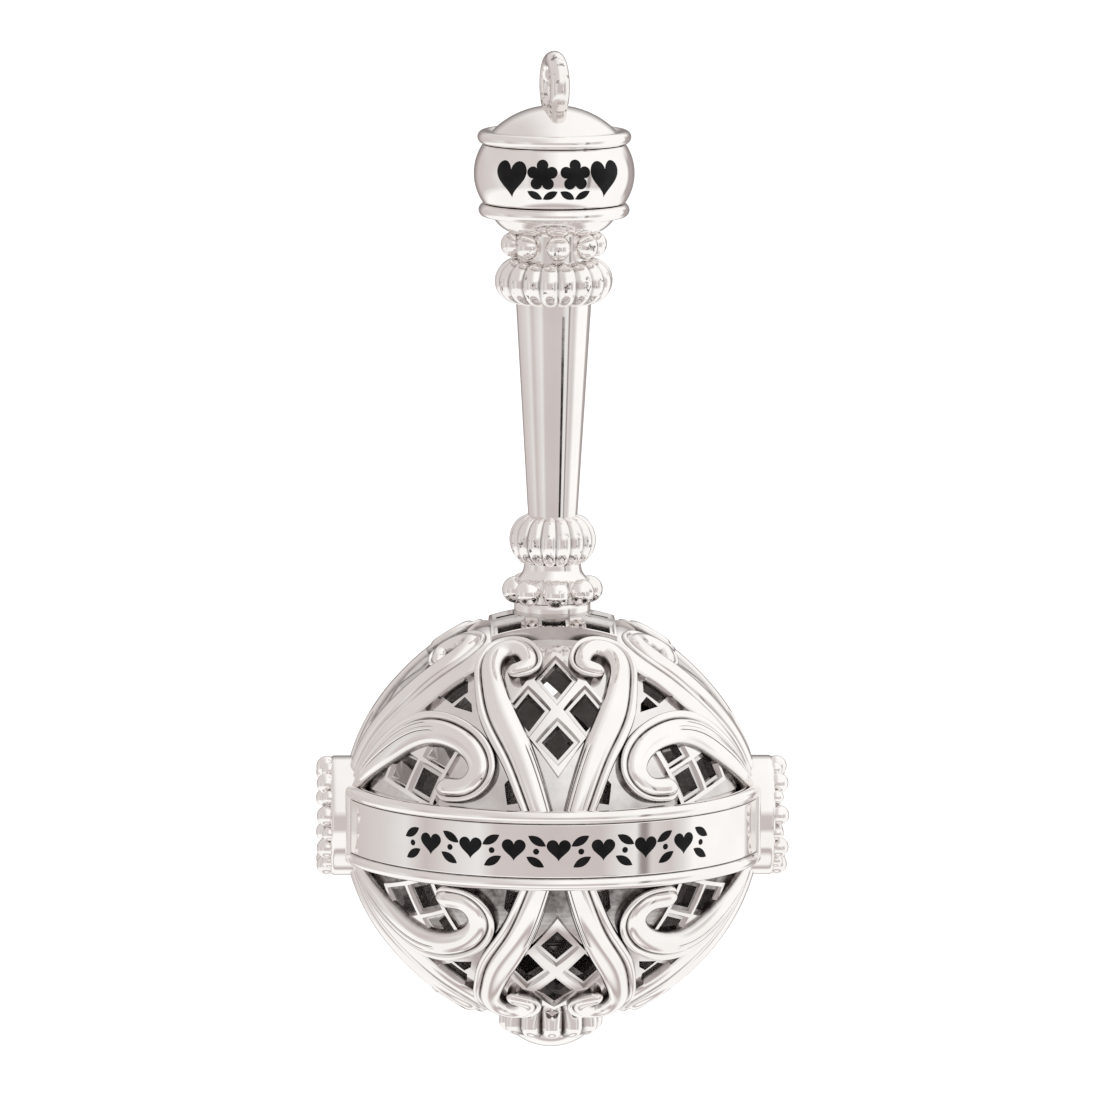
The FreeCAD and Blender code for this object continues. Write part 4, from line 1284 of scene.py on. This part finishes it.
# the rest of the tent, as places on the unit sphere: where each tone starts and is full
CEILING_START = (0.10, 0.30)        # heights
CEILING_GREY = 252
CEILING_TURN = (0.1, -0.4)          # from the middle towards the left, where the ceiling is duller
CEILING_LEFT_GREY = 212
TABLE_START = (-0.32, -0.45)
TABLE_GREY = 250
TABLE_EDGE = 0.90                   # darker edge of the white table, far below
TABLE_EDGE_HALF = 0.02
TABLE_EDGE_GREY = 190
REAR_START = (0.80, 0.98)           # the tent's open back, seen only in glancing reflections
REAR_SHARE = 0.85
REAR_GREY = 128
POST_AZIMUTH = 30.0                 # a short dark post in front, which draws the fine line on the shaft
POST_HALF = 4.0
POST_SOFT = 1.5
POST_TOP = -0.236
POST_FOOT = -0.30
POST_END = 0.01
POST_GREY = 40


def build_world():
    """A white tent: bright above and below, pinkish greys round the middle, a short dark post in front."""
    world = bpy.data.worlds.new("light_tent")
    bpy.context.scene.world = world
    world.use_nodes = True
    tree = world.node_tree
    background = tree.nodes["Background"]
    coords = tree.nodes.new("ShaderNodeTexCoord")
    split = tree.nodes.new("ShaderNodeSeparateXYZ")
    tree.links.new(coords.outputs["Generated"], split.inputs["Vector"])

    def compute(operation, a, b=0.0):
        return math_node(tree, operation, a, b, clamp=False)

    towards_front = compute("MULTIPLY", split.outputs["Y"], -1.0)
    azimuth = compute("ARCTAN2", split.outputs["X"], towards_front)
    ramp = tree.nodes.new("ShaderNodeValToRGB")
    tree.links.new(map_range(tree, azimuth, -math.pi, math.pi, 0.0, 1.0), ramp.inputs["Fac"])
    elements = ramp.color_ramp.elements
    elements[0].position = 0.0
    elements[0].color = tone(TENT[0][1])
    elements[1].position = 1.0
    elements[1].color = tone(TENT[-1][1])
    for angle, grey in TENT[1:-1]:
        elements.new((angle + 180) / 360).color = tone(grey)

    def fade(value, start, full, most=1.0):
        return map_range(tree, value, start, full, 0.0, most)

    across = split.outputs["X"]
    away = split.outputs["Y"]
    height = split.outputs["Z"]
    ceiling = mix_colour(tree, fade(across, *CEILING_TURN), tone(CEILING_GREY), tone(CEILING_LEFT_GREY))
    lit = mix_colour(tree, fade(height, *CEILING_START), ramp.outputs["Color"], ceiling)
    lit = mix_colour(tree, fade(height, *TABLE_START), lit, tone(TABLE_GREY))
    off_edge = compute("ABSOLUTE", compute("ADD", height, TABLE_EDGE))
    lit = mix_colour(tree, fade(off_edge, TABLE_EDGE_HALF * 4, TABLE_EDGE_HALF), lit, tone(TABLE_EDGE_GREY))
    lit = mix_colour(tree, fade(away, *REAR_START, most=REAR_SHARE), lit, tone(REAR_GREY))
    off_post = compute("ABSOLUTE", compute("SUBTRACT", azimuth, math.radians(POST_AZIMUTH)))
    post = fade(off_post, math.radians(POST_HALF + POST_SOFT), math.radians(POST_HALF))
    under_top = fade(height, POST_TOP + POST_END, POST_TOP)
    over_foot = fade(height, POST_FOOT - POST_END, POST_FOOT)
    shown = math_node(tree, "MULTIPLY", math_node(tree, "MULTIPLY", post, under_top), over_foot)
    lit = mix_colour(tree, shown, lit, tone(POST_GREY))
    tree.links.new(lit, background.inputs["Color"])


def build_camera():
    """A long lens, a little above the rattle, rolled because the rattle hangs slightly off upright."""
    distance = 1.0
    elevation = math.radians(8.2)
    azimuth = math.radians(-1.95)
    lean = math.radians(0.24)
    aim = Vector((-0.000285, 0.0, BALL.z + 0.02955))
    away = Vector((math.cos(elevation) * math.sin(azimuth), -math.cos(elevation) * math.cos(azimuth),
                   math.sin(elevation)))
    camera_data = bpy.data.cameras.new("camera")
    camera_data.sensor_width = 36.0
    camera_data.lens = 297.5
    camera_data.clip_end = 50.0
    camera = new_object("camera", camera_data)
    camera.location = aim + away * distance
    camera.rotation_euler = ((-away).to_track_quat("-Z", "Y") @ Quaternion((0.0, 0.0, 1.0), lean)).to_euler()
    bpy.context.scene.camera = camera


build_floor()
build_world()
build_camera()
bpy.context.scene.view_settings.view_transform = "Standard"
